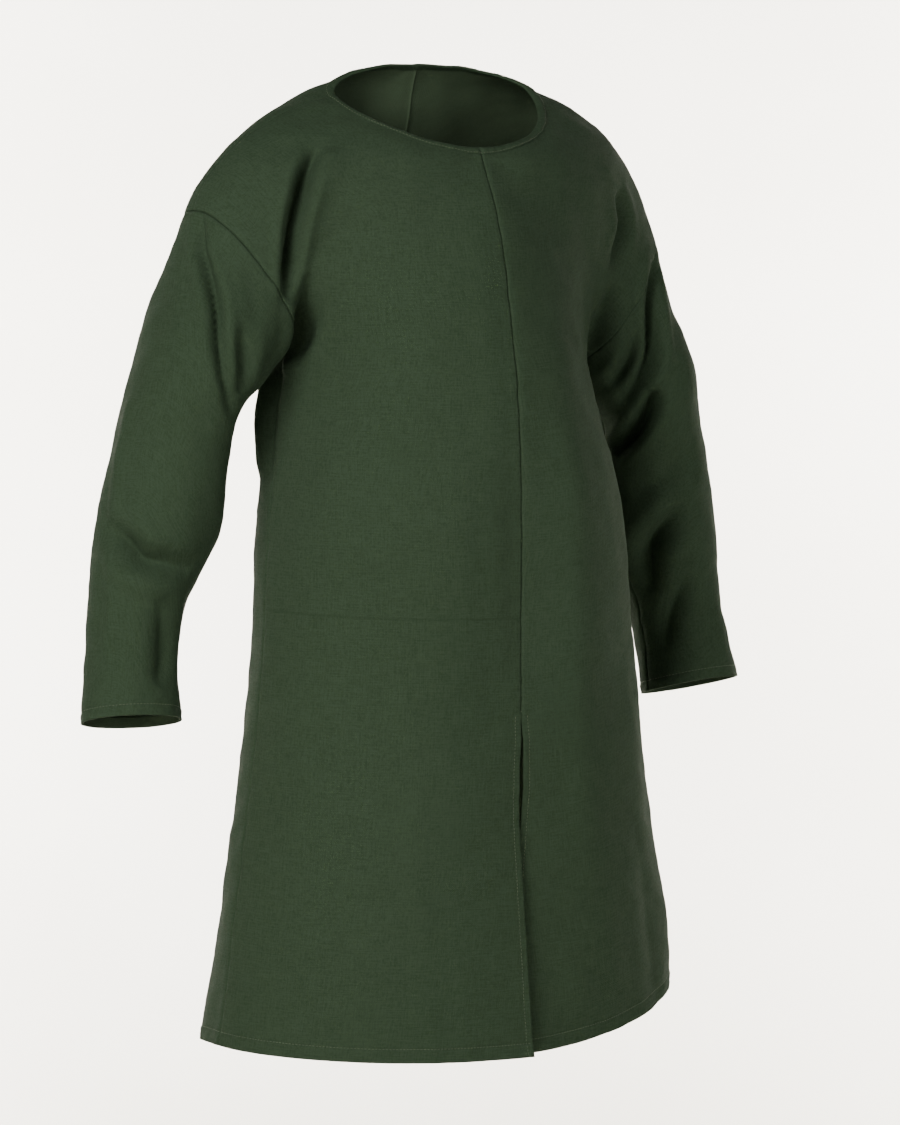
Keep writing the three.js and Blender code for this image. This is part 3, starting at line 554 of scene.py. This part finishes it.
def places_along(grid, axis, first, last):
    """Row numbers an even distance apart, with closer ones by both ends."""
    run = lengths(grid, axis).mean(1 - axis)
    total = run[-1]
    inner = np.linspace(first[-1], total - last[-1], max(2, round((total - first[-1] - last[-1]) / SPACING)))
    at = np.concatenate([first[:-1], inner, total - np.array(last[:-1])[::-1]])
    return np.interp(at, run, np.arange(len(run)))


lines = [(crease_line(name, route), width, depth) for name, route, width, depth in CREASES]


class Cloth:
    """One piece of cloth as a fine grid of points with their outward directions and distances to its edges."""

    def __init__(self, name):
        self.name, self.closed, self.turn = name, CLOSED[name], TURN[name]
        grid, normal = net[numbers[name]], normals[numbers[name]]
        ends = (EDGE_STEPS, CUFF_STEPS) if self.closed else (HEM_STEPS, EDGE_STEPS)
        rows = places_along(grid, 0, *ends)
        grid, normal = read_grid(grid, rows), read_grid(normal, rows)
        self.v = rows / (numbers[name].shape[0] - 1)
        if self.closed:  # the underarm seam becomes the first column
            grid, normal = [np.roll(g, g.shape[1] // 2, 1) for g in (grid, normal)]
        else:
            columns = places_along(grid, 1, EDGE_STEPS, EDGE_STEPS)
            across = lambda g: np.swapaxes(read_grid(np.swapaxes(g, 0, 1), columns), 0, 1)
            grid, normal = across(grid), across(normal)
            self.v = np.interp(self.v * (len(ROWS) - 1), np.arange(len(ROWS)), ROWS)
        self.normals = unit(normal)
        flat = grid.reshape(-1, 3)
        press = -crease_depth(flat, lines)
        for height, size, seed in DRAPE:
            press += height * waves(flat, size, seed)
        self.points = grid + self.normals * press.reshape(grid.shape[:2])[..., None]
        down, over = lengths(self.points, 0), lengths(self.points, 1)
        self.up, self.across = down, over
        if self.closed:
            self.round = over[:, -1] + np.linalg.norm(self.points[:, 0] - self.points[:, -1], axis=1)
            underarm = np.minimum(over, self.round[:, None] - over)
            self.edges = dict(armhole=down, cuff=down[-1:] - down, underarm=underarm)
        else:
            self.edges = dict(hem=down, outer=over, centre=over[:, -1:] - over, shoulder=down[-1:] - down)


cloth = {name: Cloth(name) for name in PIECES}


def pressed_normals(piece):
    """The directions that the pressed face really has, kept as they were along the edges that pieces share."""
    p = piece.points
    if piece.closed:
        over = np.roll(p, -1, 1) - np.roll(p, 1, 1)
    else:
        over = np.gradient(p, axis=1)
    real = unit(np.cross(np.gradient(p, axis=0), over) * -piece.turn)
    shared = [d for edge, d in piece.edges.items() if edge != "underarm"]
    share = smooth(np.minimum.reduce(shared) / 8)[..., None]
    return unit(blend(piece.normals, real, share))


# Seams: depth and width of the groove, the ridge of the allowances under the cloth, and how far the thread
# pulls. The shoulder seams and the left armhole are pressed flatter, to these shares.
SEAM = dict(sinks=1.5, narrow=0.9, ridge=0.28, ridge_at=6, ridge_wide=4, pull=0.16, fine_pull=0.1, pull_wide=7)
SHOULDER_SHARE, LEFT_ARMHOLE_SHARE = 0.4, 0.35
# Hems: the thread's row sinks, the turned edge stands up, and the thread's pull puckers it.
ROW = dict(sinks=0.45, narrow=1.1, stands=0.3, pull=0.3, fine_pull=0.22)
BEYOND = 99  # a distance out of every seam's reach


def bump(distance, at, width):
    return np.exp(-(((distance - at) / width) ** 2))


def sewn_relief(piece):
    """How far sewing moves the face of the cloth out."""
    p, e = piece.points, piece.edges
    relief = 0.1 * waves(p, 18, 21)
    pull, fine = waves(p, 22, 11), waves(p, 9, 12)
    hems = {edge: e[edge] for edge in HEM_TURN if edge in e}
    if piece.closed:
        seams = [(e["armhole"], 1 if SIDE[piece.name] == RIGHT else LEFT_ARMHOLE_SHARE), (e["underarm"], 1)]
    else:
        slit = (piece.v < row_of_slit)[:, None] & FRONT[piece.name]
        left_armhole = (piece.v[:, None] > 1) & (SIDE[piece.name] == LEFT)
        seams = [
            (e["outer"], np.where(left_armhole, LEFT_ARMHOLE_SHARE, 1)),
            (np.where(slit, BEYOND, e["centre"]), 1),
            (e["shoulder"], SHOULDER_SHARE),
        ]
        hems["slit"] = np.where(slit, e["centre"], BEYOND)
    for d, share in seams:
        relief += share * SEAM["ridge"] * bump(d, SEAM["ridge_at"], SEAM["ridge_wide"])
        relief -= share * SEAM["sinks"] * bump(d, 0, SEAM["narrow"])
        relief += share * (SEAM["pull"] * pull + SEAM["fine_pull"] * fine) * bump(d, 1, SEAM["pull_wide"])
    for edge, d in hems.items():
        turn = HEM_TURN[edge]
        relief -= ROW["sinks"] * bump(d, turn, ROW["narrow"])
        relief += ROW["stands"] * bump(d, turn / 2, turn / 2.6)
        relief += (ROW["pull"] * pull + ROW["fine_pull"] * fine) * bump(d, turn * 0.5, turn * 0.75)
    return relief


row_of_slit = np.interp(0, centre_height(ROWS, True) - SLIT_TOP, ROWS)
for piece in cloth.values():
    piece.normals = pressed_normals(piece)
    piece.points = piece.points + piece.normals * sewn_relief(piece)[..., None]


def shell(piece):
    """The two faces of one piece, a cloth's thickness apart, or nearly twice that where a hem is turned in."""
    hem_at = lambda edge, distance: smooth((HEM_TURN[edge] + 0.8 - distance) / 1.2)
    edge = "cuff" if piece.closed else "hem"
    turned = hem_at(edge, piece.edges[edge])
    if FRONT[piece.name]:
        turned = np.maximum(turned, (piece.v < row_of_slit)[:, None] * hem_at("slit", piece.edges["centre"]))
    thick = CLOTH * (1 + 0.9 * turned)
    face = piece.points + piece.normals * CLOTH / 2
    back = face - piece.normals * thick[..., None]
    return face, back


def lay_out(name, mesh):
    made = bpy.data.objects.new(name, mesh)
    bpy.context.collection.objects.link(made)
    return made


def piece_mesh(piece):
    """The closed wall of one piece, with the places of its cut as its UV map."""
    face, back = shell(piece)
    rows, columns = face.shape[:2]
    count = rows * columns
    ids = np.arange(count).reshape(rows, columns)
    outer = cells(ids, piece.closed).reshape(-1, 4)
    inner = outer[:, ::-1] + count
    if piece.turn < 0:
        outer, inner = outer[:, ::-1], inner[:, ::-1]
    if piece.closed:
        borders = [(np.append(ids[0], ids[0, 0]), 1), (np.append(ids[-1], ids[-1, 0]), -1)]
    else:
        borders = [(ids[0], 1), (ids[-1], -1), (ids[:, 0], -1), (ids[:, -1], 1)]
    rims = []
    for border, way in borders:
        a, b = border[:-1], border[1:]
        rims.append(np.stack([b, a, a + count, b + count], 1)[:, ::way])
    rims = np.concatenate(rims)
    if piece.turn < 0:
        rims = rims[:, ::-1]
    faces = np.concatenate([outer, inner, rims])
    mesh = bpy.data.meshes.new(piece.name + "_cloth")
    places = np.concatenate([face.reshape(-1, 3), back.reshape(-1, 3)]) * 0.001
    mesh.from_pydata(places.tolist(), [], faces.tolist())
    mesh.polygons.foreach_set("use_smooth", np.ones(len(faces), bool))
    inside = mesh.attributes.new("inside", "FLOAT", "POINT")
    inside.data.foreach_set("value", np.repeat([0.0, 1.0], count))
    row, column = faces % count // columns, faces % count % columns
    spread = np.stack([piece.across[row, column], piece.up[row, column]], -1)
    if piece.closed:
        last = (column.max(1) - column.min(1) > 1)[:, None] & (column == 0)
        spread[..., 0] += np.where(last, piece.round[row], 0)
    mesh.uv_layers.new(name="cut").data.foreach_set("uv", spread.ravel() * 0.001)
    mesh.update()
    return lay_out(mesh.name, mesh)


shown = {name: piece_mesh(piece) for name, piece in cloth.items()}


class Nodes:
    """Builds the nodes of one tree."""

    def __init__(self, tree):
        self.tree = tree
        tree.nodes.clear()

    def node(self, kind, settings=None, output=0, values=(), **named):
        """Any node: its settings first, then the values or links of its sockets, in their order or by name."""
        made = self.tree.nodes.new(kind)
        for key, value in (settings or {}).items():
            setattr(made, key, value)
        sockets = dict(enumerate(values)) | {key.replace("_", " "): value for key, value in named.items()}
        for key, value in sockets.items():
            if isinstance(value, Measure):
                self.tree.links.new(value.socket, made.inputs[key])
            elif value is not None:
                made.inputs[key].default_value = value
        return Measure(self, made.outputs[output] if made.outputs else None)

    def maths(self, operation, *values):
        return self.node("ShaderNodeMath", {"operation": operation}, values=values)

    def mix(self, share, one, other):
        """One colour changing into another."""
        colours = (share, None, None, None, None, None, one, other)
        return self.node("ShaderNodeMix", {"data_type": "RGBA"}, output=2, values=colours)


class Dye(Nodes):
    """One material, from its first pattern to its finished surface."""

    def __init__(self, name):
        self.material = bpy.data.materials.new(name)
        self.material.use_nodes = True
        super().__init__(self.material.node_tree)
        self.spot = self.node("ShaderNodeTexCoord", output=3)  # the place on the object itself

    def noise(self, scale, place=None):
        return self.node("ShaderNodeTexNoise", Vector=place or self.spot, Scale=scale, Detail=2.0)

    def finish(self, **sockets):
        self.node("ShaderNodeOutputMaterial", Surface=self.node("ShaderNodeBsdfPrincipled", **sockets))
        return self.material


class Measure:
    """A value that changes over a surface, reckoned with + - and * as numbers are."""

    def __init__(self, nodes, socket):
        self.nodes, self.socket = nodes, socket

    def __add__(self, other):
        return self.nodes.maths("ADD", self, other)

    __radd__ = __add__

    def __sub__(self, other):
        return self.nodes.maths("SUBTRACT", self, other)

    def __rsub__(self, other):
        return self.nodes.maths("SUBTRACT", other, self)

    def __mul__(self, other):
        return self.nodes.maths("MULTIPLY", self, other)

    __rmul__ = __mul__

    def ranged(self, low, high, to_low=0.0, to_high=1.0):
        """A soft step from one value to another."""
        step = {"interpolation_type": "SMOOTHSTEP"}
        return self.nodes.node("ShaderNodeMapRange", step, values=(self, low, high, to_low, to_high))


# The dye, paler where the threads are worn and deeper between them, with painted light that makes the inside face
# paler and painted shade along the line where the tunic lay folded.
GREEN = (0.0190, 0.0308, 0.0168, 1)
GREEN_WORN = (0.0255, 0.0390, 0.0235, 1)
GREEN_DEEP = (0.0112, 0.0196, 0.0098, 1)
# painted light: the paler green of the inside face
GREEN_INSIDE_PAINTED_LIGHT = (0.036, 0.051, 0.029, 1)
THREADS_PER_METRE = 1100
# the height of a line of painted shade, where the tunic lay folded
PRESS_LINE = 0.442  # metres above the hem, where the tunic lay folded


def cloth_material(name, press_shade):
    dye = Dye(name)
    cut = dye.node("ShaderNodeUVMap", {"uv_map": "cut"})
    across, up = [dye.node("ShaderNodeSeparateXYZ", output=way, Vector=cut) for way in (0, 1)]
    pitch = 2 * math.pi * THREADS_PER_METRE / 2
    warp, weft = dye.maths("SINE", across * pitch), dye.maths("SINE", up * pitch)
    weave = warp * weft

    def slub(x, y, seed):
        """Uneven thickness of the threads that run one way."""
        return dye.noise(1.0, dye.node("ShaderNodeCombineXYZ", X=across * x, Y=up * y, Z=seed))

    across_threads, up_threads = slub(45.0, 900.0, 0.0), slub(900.0, 45.0, 5.0)
    threads = (across_threads + up_threads) * 0.5
    cloud, mottle = dye.noise(4.0), dye.noise(420.0)
    colour = dye.mix(cloud.ranged(0.3, 0.7, 0.0, 0.3), GREEN, GREEN_WORN)
    colour = dye.mix(mottle.ranged(0.4, 0.65, 0.0, 0.4), colour, GREEN_DEEP)
    colour = dye.mix(threads.ranged(0.42, 0.6, 0.0, 0.55), colour, GREEN_WORN)
    neps = dye.node("ShaderNodeTexVoronoi", {"feature": "F1"}, Vector=dye.spot, Scale=38.0)
    colour = dye.mix(neps.ranged(0.012, 0.03, 0.6, 0.0), colour, GREEN_DEEP)
    height = weave * 0.3 + threads * 1.2 + mottle * 0.5
    # painted shade: a thin darker line across the cloth at the press line, standing in for the shade in the fold's
    # crease
    pressed = dye.maths("ABSOLUTE", up - PRESS_LINE).ranged(0.0006, 0.0022, press_shade, 0.0)
    colour = dye.mix(pressed, colour, GREEN_DEEP)
    # painted light: the inside face is painted paler, standing in for the light that reaches the inside of the
    # neck
    inside = dye.node("ShaderNodeAttribute", {"attribute_name": "inside"}, output=2)
    colour = dye.mix(inside * 0.55, colour, GREEN_INSIDE_PAINTED_LIGHT)
    relief = dye.node("ShaderNodeBump", Height=height, Strength=0.35, Distance=0.0006)
    roughness = mottle.ranged(0.2, 0.8, 0.86, 0.97)
    return dye.finish(Base_Color=colour, Roughness=roughness, Normal=relief, Specular_IOR_Level=0.03)


canvas = cloth_material("green_cotton", 0.0)
press_shaded_canvas = cloth_material("green_cotton_press_shade", 0.25)
# the front right panel carries the painted shade of the press line; the other pieces have none
for name, thing in shown.items():
    thing.data.materials.append(press_shaded_canvas if name == "front_right" else canvas)
    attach(thing, "root")
    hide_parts(name)

# ---------------------------------------------------------------------------------------------------------
# The neck's binding: a narrow bias strip of the same cloth, folded over the raw neck edge all round and
# stitched down by its lower edge. Its ends meet at the centre front seam, where it puckers a little.
BAND_FOLDED = 0.015  # metres, its width once it is folded
BAND_POINTS = 420  # round the neck
# Its section, outside, over the fold and inside: how far down from the neck edge, and how high over the cloth.
BAND = [(8.0, 0.75), (8.15, 1.2), (7.7, 1.55), (6.9, 1.5), (6.3, 1.72), (4.2, 1.9), (2, 1.95), (0.4, 1.8)]
BAND_TOP = [(-0.7, 1.2), (-1.15, 0.3), (-1.15, -0.6), (-0.6, -1.35), (0.5, -1.7)]
BAND_BACK = [(3, -1.75), (6.2, -1.6), (6.7, -1.2), (6.6, -0.7)]


def ring_round_neck(take):
    """Reads something at the neck edge of the four panels, in one ring that starts at the centre front."""
    rows = lambda name: take(cloth[name])[cloth[name].v >= 2]
    right, left = rows("front_right"), rows("front_left")
    back_right, back_left = rows("back_right")[::-1], rows("back_left")
    return np.concatenate([right, back_right[1:], back_left[1:], left[::-1][1:-1]])


def even_ring(ring, count, run):
    at = np.linspace(0, run[-1], count, endpoint=False)
    closed = np.concatenate([ring, ring[:1]])
    return np.stack([np.interp(at, run, closed[:, k]) for k in range(3)], 1)


def neck_ring(count):
    edge = ring_round_neck(lambda piece: piece.points[:, -1])
    out = ring_round_neck(lambda piece: piece.normals[:, -1])
    run = np.concatenate([[0], np.cumsum(np.linalg.norm(np.roll(edge, -1, 0) - edge, axis=1))])
    edge, out = even_ring(edge, count, run), even_ring(out, count, run)
    for _ in range(6):
        edge = edge * 0.5 + (np.roll(edge, 1, 0) + np.roll(edge, -1, 0)) * 0.25
        out = out * 0.5 + (np.roll(out, 1, 0) + np.roll(out, -1, 0)) * 0.25
    ahead = unit(np.roll(edge, -1, 0) - np.roll(edge, 1, 0))
    out = unit(out - ahead * (out * ahead).sum(1, keepdims=True))
    down = np.cross(out, ahead)
    inside = np.array([0, 0, -0.4]) + edge * [0.4, 0.4, 0]
    down *= np.sign((down * unit(inside)).sum(1, keepdims=True))
    return edge, out, down, run[-1]


near_neck = [(p, p.v > 1.7) for p in cloth.values() if not p.closed]
near_points = np.concatenate([p.points[rows].reshape(-1, 3) for p, rows in near_neck])
near_out = np.concatenate([p.normals[rows].reshape(-1, 3) for p, rows in near_neck])
tree = KDTree(len(near_points))
for i, place in enumerate(near_points):
    tree.insert(place, i)
tree.balance()


def laid_on_cloth(place, lift):
    """A point brought to a height over the cloth's middle."""
    _, i, _ = tree.find(place)
    height = (place - near_points[i]) @ near_out[i]
    return place + near_out[i] * (lift - height)


def band_mesh():
    count = BAND_POINTS
    edge, out, down, length = neck_ring(count)
    run = np.linspace(0, length, count, endpoint=False)
    profile = BAND + BAND_TOP + BAND_BACK
    pull, fine = waves(edge, 15, 31), waves(edge, 8, 33)
    front = np.exp(-((edge[:, 0] / 60) ** 2)) * (edge[:, 1] < 0)
    pucker = (0.12 + 0.2 * front) * (pull + 0.7 * fine)
    rings = []
    for k, (s, lift) in enumerate(profile):
        outer = k < len(BAND)
        places = edge + down * (s + 0.25 * pull * (s > 5))[:, None]
        lifts = lift + pucker * (0.6 if outer else 0.2) * min(1, max(s, 0) / 3)
        if s > 0:
            rings.append(np.array([laid_on_cloth(place, lift) for place, lift in zip(places, lifts)]))
        else:
            rings.append(places + out * lifts[:, None])
    rings = np.stack(rings, 1)
    sides = len(profile)
    ids = np.arange(count * sides).reshape(count, sides)
    wrap = np.concatenate([ids, ids[:1]])
    wrap = np.concatenate([wrap, wrap[:, :1]], 1)
    faces = np.stack([wrap[:-1, :-1], wrap[1:, :-1], wrap[1:, 1:], wrap[:-1, 1:]], -1).reshape(-1, 4)
    mesh = bpy.data.meshes.new("neck_binding_cloth")
    mesh.from_pydata((rings.reshape(-1, 3) * 0.001).tolist(), [], faces.tolist())
    mesh.polygons.foreach_set("use_smooth", np.ones(len(faces), bool))
    layer = mesh.uv_layers.new(name="cut")
    corner = np.empty(len(mesh.loops), int)
    mesh.loops.foreach_get("vertex_index", corner)
    over = np.cumsum([0] + [math.dist(a, b) for a, b in zip(profile[:-1], profile[1:])])
    x, y = np.repeat(run, sides) * 0.001, np.tile(over, count) * 0.001
    spread = np.stack([(x + y) * 0.7071, (x - y) * 0.7071], 1)
    layer.data.foreach_set("uv", spread[corner].ravel())
    mesh.update()
    return lay_out(mesh.name, mesh), rings, out, length


band, band_rings, band_out, band_length = band_mesh()
band.data.materials.append(canvas)
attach(band, "root")
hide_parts("neck_binding")

# ---------------------------------------------------------------------------------------------------------
# Stitching: single rows of lockstitch in a slightly paler cotton thread. They hold the turned hem, the cuffs,
# the two edges of the front slit and the binding, and a short bar of close stitches ends the slit.
STITCH = dict(length=2.5, gap=1.0, thick=0.55)
THREAD = (0.06, 0.072, 0.04, 1)


def thread_material():
    dye = Dye("thread")
    twist, wear = dye.noise(900.0), dye.noise(40.0)
    colour = dye.mix(wear.ranged(0.35, 0.65), THREAD, tuple(c * 0.6 for c in THREAD[:3]) + (1,))
    return dye.finish(Base_Color=colour, Roughness=twist.ranged(0.2, 0.8, 0.6, 0.8), Specular_IOR_Level=0.3)


thread = thread_material()


def stitch_tree():
    tree = bpy.data.node_groups.new("stitches", "GeometryNodeTree")
    inputs = {"Geometry": "Geometry", "Length": "Float", "Thickness": "Float", "Thread": "Material"}
    for name, kind in inputs.items():
        tree.interface.new_socket(name, in_out="INPUT", socket_type="NodeSocket" + kind)
    tree.interface.new_socket("Geometry", in_out="OUTPUT", socket_type="NodeSocketGeometry")
    nodes = Nodes(tree)
    start = {name: nodes.node("NodeGroupInput", output=name) for name in inputs}
    read = lambda name: nodes.node("GeometryNodeInputNamedAttribute", {"data_type": "FLOAT_VECTOR"}, Name=name)
    turn = nodes.node(
        "FunctionNodeAxesToRotation",
        {"primary_axis": "X", "secondary_axis": "Z"},
        Primary_Axis=read("along"),
        Secondary_Axis=read("out"),
    )
    thick = start["Thickness"]
    size = nodes.node("ShaderNodeCombineXYZ", X=start["Length"], Y=thick, Z=thick)
    bead = nodes.node("GeometryNodeMeshUVSphere", Segments=6, Rings=5, Radius=0.5)
    lying = nodes.node("GeometryNodeTransform", Geometry=bead, Rotation=(0, math.pi / 2, 0))
    placed = nodes.node(
        "GeometryNodeInstanceOnPoints", Points=start["Geometry"], Instance=lying, Rotation=turn, Scale=size
    )
    real = nodes.node("GeometryNodeRealizeInstances", Geometry=placed)
    soft = nodes.node("GeometryNodeSetShadeSmooth", Geometry=real)
    dyed = nodes.node("GeometryNodeSetMaterial", Geometry=soft, Material=start["Thread"])
    nodes.node("NodeGroupOutput", Geometry=dyed)
    return tree


stitches = stitch_tree()


def stitch(name, places, ways, outs, length, thick):
    """Sews stitches at these places, each along its own way on the cloth's face."""
    mesh = bpy.data.meshes.new(name)
    mesh.from_pydata((np.asarray(places) * 0.001).tolist(), [], [])
    for key, values in (("along", ways), ("out", outs)):
        layer = mesh.attributes.new(key, "FLOAT_VECTOR", "POINT")
        layer.data.foreach_set("vector", np.asarray(values).ravel())
    sewn = lay_out(name + "_places", mesh)
    modifier = sewn.modifiers.new("stitches", "NODES")
    modifier.node_group = stitches
    sockets = {i.name: i.identifier for i in stitches.interface.items_tree if i.in_out == "INPUT"}
    modifier[sockets["Length"]] = length * 0.001
    modifier[sockets["Thickness"]] = thick * 0.001
    modifier[sockets["Thread"]] = thread
    whole = bpy.data.meshes.new_from_object(sewn.evaluated_get(bpy.context.evaluated_depsgraph_get()))
    whole.name = name
    bpy.data.objects.remove(sewn)
    made = lay_out(name, whole)
    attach(made, "root")
    return made


def line_on(piece, edge, distance, keep=None):
    """The line on a piece's face at one distance from an edge, with the directions out of the cloth there."""
    field, points, outs = piece.edges[edge], piece.points, piece.normals
    if edge in ("hem", "cuff", "armhole", "shoulder"):
        field, points, outs = field.T, np.swapaxes(points, 0, 1), np.swapaxes(outs, 0, 1)
    if field[0, 0] > field[0, -1]:
        field, points, outs = field[:, ::-1], points[:, ::-1], outs[:, ::-1]
    line, out = [], []
    for row in np.flatnonzero(np.ones(len(field), bool) if keep is None else keep):
        at = np.interp(distance, field[row], np.arange(field.shape[1]))
        i = min(int(at), field.shape[1] - 2)
        line.append(blend(points[row, i], points[row, i + 1], at - i))
        out.append(unit(blend(outs[row, i], outs[row, i + 1], at - i)))
    return np.array(line), np.array(out)


def row_of_stitches(name, line, out, lift, closed=False, trim=0.0):
    """A row of stitches along a line on the cloth, an even pitch apart."""
    if closed:
        line, out = np.concatenate([line, line[:1]]), np.concatenate([out, out[:1]])
    run = np.concatenate([[0], np.cumsum(np.linalg.norm(np.diff(line, axis=0), axis=1))])
    pitch = STITCH["length"] + STITCH["gap"]
    at = np.arange(trim + pitch / 2, run[-1] - trim, pitch)
    read = lambda values, where: np.stack([np.interp(where, run, values[:, k]) for k in range(3)], 1)
    places, outs = read(line, at), unit(read(out, at))
    ways = unit(read(line, at + 1) - read(line, at - 1))
    return stitch(name, places + outs * lift, ways, outs, STITCH["length"], STITCH["thick"])


FACE = CLOTH / 2  # height of the cloth's face over its middle
HEM_TRIM = 2  # the rows stop this far from a side
sewing = {}
for name, piece in cloth.items():
    if piece.closed:
        line, out = line_on(piece, "cuff", HEM_TURN["cuff"])
        sewing[name] = [row_of_stitches(name + "_cuff_stitches", line, out, FACE, closed=True)]
    else:
        line, out = line_on(piece, "hem", HEM_TURN["hem"])
        sewing[name] = [row_of_stitches(name + "_hem_stitches", line, out, FACE, trim=HEM_TRIM)]
    if FRONT[name]:
        line, out = line_on(piece, "centre", HEM_TURN["slit"], piece.v < row_of_slit)
        sewing[name].append(row_of_stitches(name + "_slit_stitches", line, out, FACE, trim=HEM_TRIM))
band_row = (band_rings[:, 3] + band_rings[:, 4]) / 2  # between the two points where its section dips
sewing["band"] = [row_of_stitches("neck_binding_stitches", band_row, band_out, 0.1, closed=True)]


BAR = dict(threads=9, width=9.0, half_height=1.6, below_top=1.5, stands=0.35)


def slit_bar():
    """Close stitches side by side across the slit's top."""
    piece, count = cloth["front_right"], BAR["threads"]
    i = np.argmin(np.abs(piece.v - row_of_slit))
    middle, out = piece.points[i, -1] - [0, 0, BAR["below_top"]], piece.normals[i, -1]
    up = unit(piece.points[i + 3, -1] - piece.points[i - 3, -1])
    rise = np.linspace(-1, 1, count) * BAR["half_height"]
    places = middle + up * rise[:, None] + out * (FACE + BAR["stands"])
    ways, outs = [np.tile(way, (count, 1)) for way in (unit(np.cross(up, out)), out)]
    return stitch("slit_bar", places, ways, outs, BAR["width"], STITCH["thick"])


sewing["front_right"].append(slit_bar())

flat = (band_length * 0.001, BAND_FOLDED)

# ---------------------------------------------------------------------------------------------------------
# Floor, light and camera: a floor of pale paper that curves up into a wall, two soft lights close together on
# the wearer's right, a weaker low one in front, two behind the tunic for the wall alone, and a dim room.
VIEW = dict(azimuth=-31.1, elevation=4.7, distance=4.956)
LOOK_AT = Vector((0, 0, -0.5))
WARM, WHITE = (1, 0.99, 0.975), (1, 1, 1)
SWEEP = dict(half_width=5.0, front=-6.0, back=2.6, floor=-1.45, rise=4.0, radius=1.2, steps=12)


def sweep():
    radius, floor = SWEEP["radius"], SWEEP["floor"]
    bend = SWEEP["back"] - radius
    profile = [(SWEEP["front"], floor), (bend, floor)]
    for i in range(1, SWEEP["steps"]):
        turn = math.pi / 2 * i / SWEEP["steps"]
        profile.append((bend + radius * math.sin(turn), floor + radius - radius * math.cos(turn)))
    profile += [(SWEEP["back"], floor + radius), (SWEEP["back"], floor + SWEEP["rise"])]
    mesh = bpy.data.meshes.new("backdrop")
    verts = [(x, y, z) for y, z in profile for x in (-SWEEP["half_width"], SWEEP["half_width"])]
    faces = [(2 * i, 2 * i + 1, 2 * i + 3, 2 * i + 2) for i in range(len(profile) - 1)]
    mesh.from_pydata(verts, [], faces)
    mesh.polygons.foreach_set("use_smooth", [True] * len(faces))
    dye = Dye("paper")
    grain = dye.node("ShaderNodeTexNoise", Vector=dye.spot, Scale=1.2, Detail=3.0)
    colour = dye.mix(grain.ranged(0.3, 0.7), (0.72, 0.69, 0.62, 1), (0.78, 0.755, 0.69, 1))
    mesh.materials.append(dye.finish(Base_Color=colour, Roughness=0.95))
    return lay_out("backdrop", mesh)


backdrop = sweep()
backdrop.rotation_euler = (0, 0, math.radians(VIEW["azimuth"]))


def way_to(azimuth, elevation):
    """From the tunic towards a place this far round it and this high, in degrees."""
    a, e = math.radians(azimuth), math.radians(elevation)
    return Vector((math.sin(a) * math.cos(e), -math.cos(a) * math.cos(e), math.sin(e)))


def soft_light(name, place, back, size, watts, tint):
    """A square light at a place, with its back turned this way."""
    lamp = bpy.data.lights.new(name, "AREA")
    lamp.shape, lamp.size, lamp.energy, lamp.color = "SQUARE", size, watts, tint
    made = lay_out(name, lamp)
    made.location = place
    made.rotation_euler = back.to_track_quat("Z", "Y").to_euler()


for name, azimuth, elevation, size, watts, tint in (
    ("key", -52, 10, 1.2, 78, WARM),
    ("high", -62, 28, 1.2, 130, WARM),
    ("low", 28, 5, 1.4, 58, WHITE),
):
    way = way_to(azimuth, elevation)
    soft_light(name, LOOK_AT + way * 3.5, way, size, watts, tint)
ahead = way_to(VIEW["azimuth"] + 180, 0)
aside = Vector((-ahead.y, ahead.x, 0))
for name, side in (("backdrop_left", 1), ("backdrop_right", -1)):
    place = aside * side * 1.75 + ahead * 0.9 + Vector((0, 0, -0.3))
    soft_light(name, place, aside * side * 0.12 - ahead, 1.6, 330, WARM)
world = bpy.data.worlds.new("room")
bpy.context.scene.world = world
world.use_nodes = True
room = world.node_tree.nodes["Background"].inputs
room["Color"].default_value, room["Strength"].default_value = (*WARM, 1), 0.18

# The whole frame is 900 wide; the lens and its shift are in the same unit.
FRAME, LENS, SHIFT = 900, 4816.15, (17.87, 18.85)
lens = bpy.data.cameras.new("camera")
lens.sensor_fit, lens.sensor_width = "HORIZONTAL", 36
lens.lens = LENS / FRAME * lens.sensor_width
lens.shift_x, lens.shift_y = [shift / FRAME for shift in SHIFT]
lens.clip_end = 100
camera = lay_out("camera", lens)
way = way_to(VIEW["azimuth"], VIEW["elevation"])
camera.location = LOOK_AT + way * VIEW["distance"]
camera.rotation_euler = way.to_track_quat("Z", "Y").to_euler()
bpy.context.scene.camera = camera
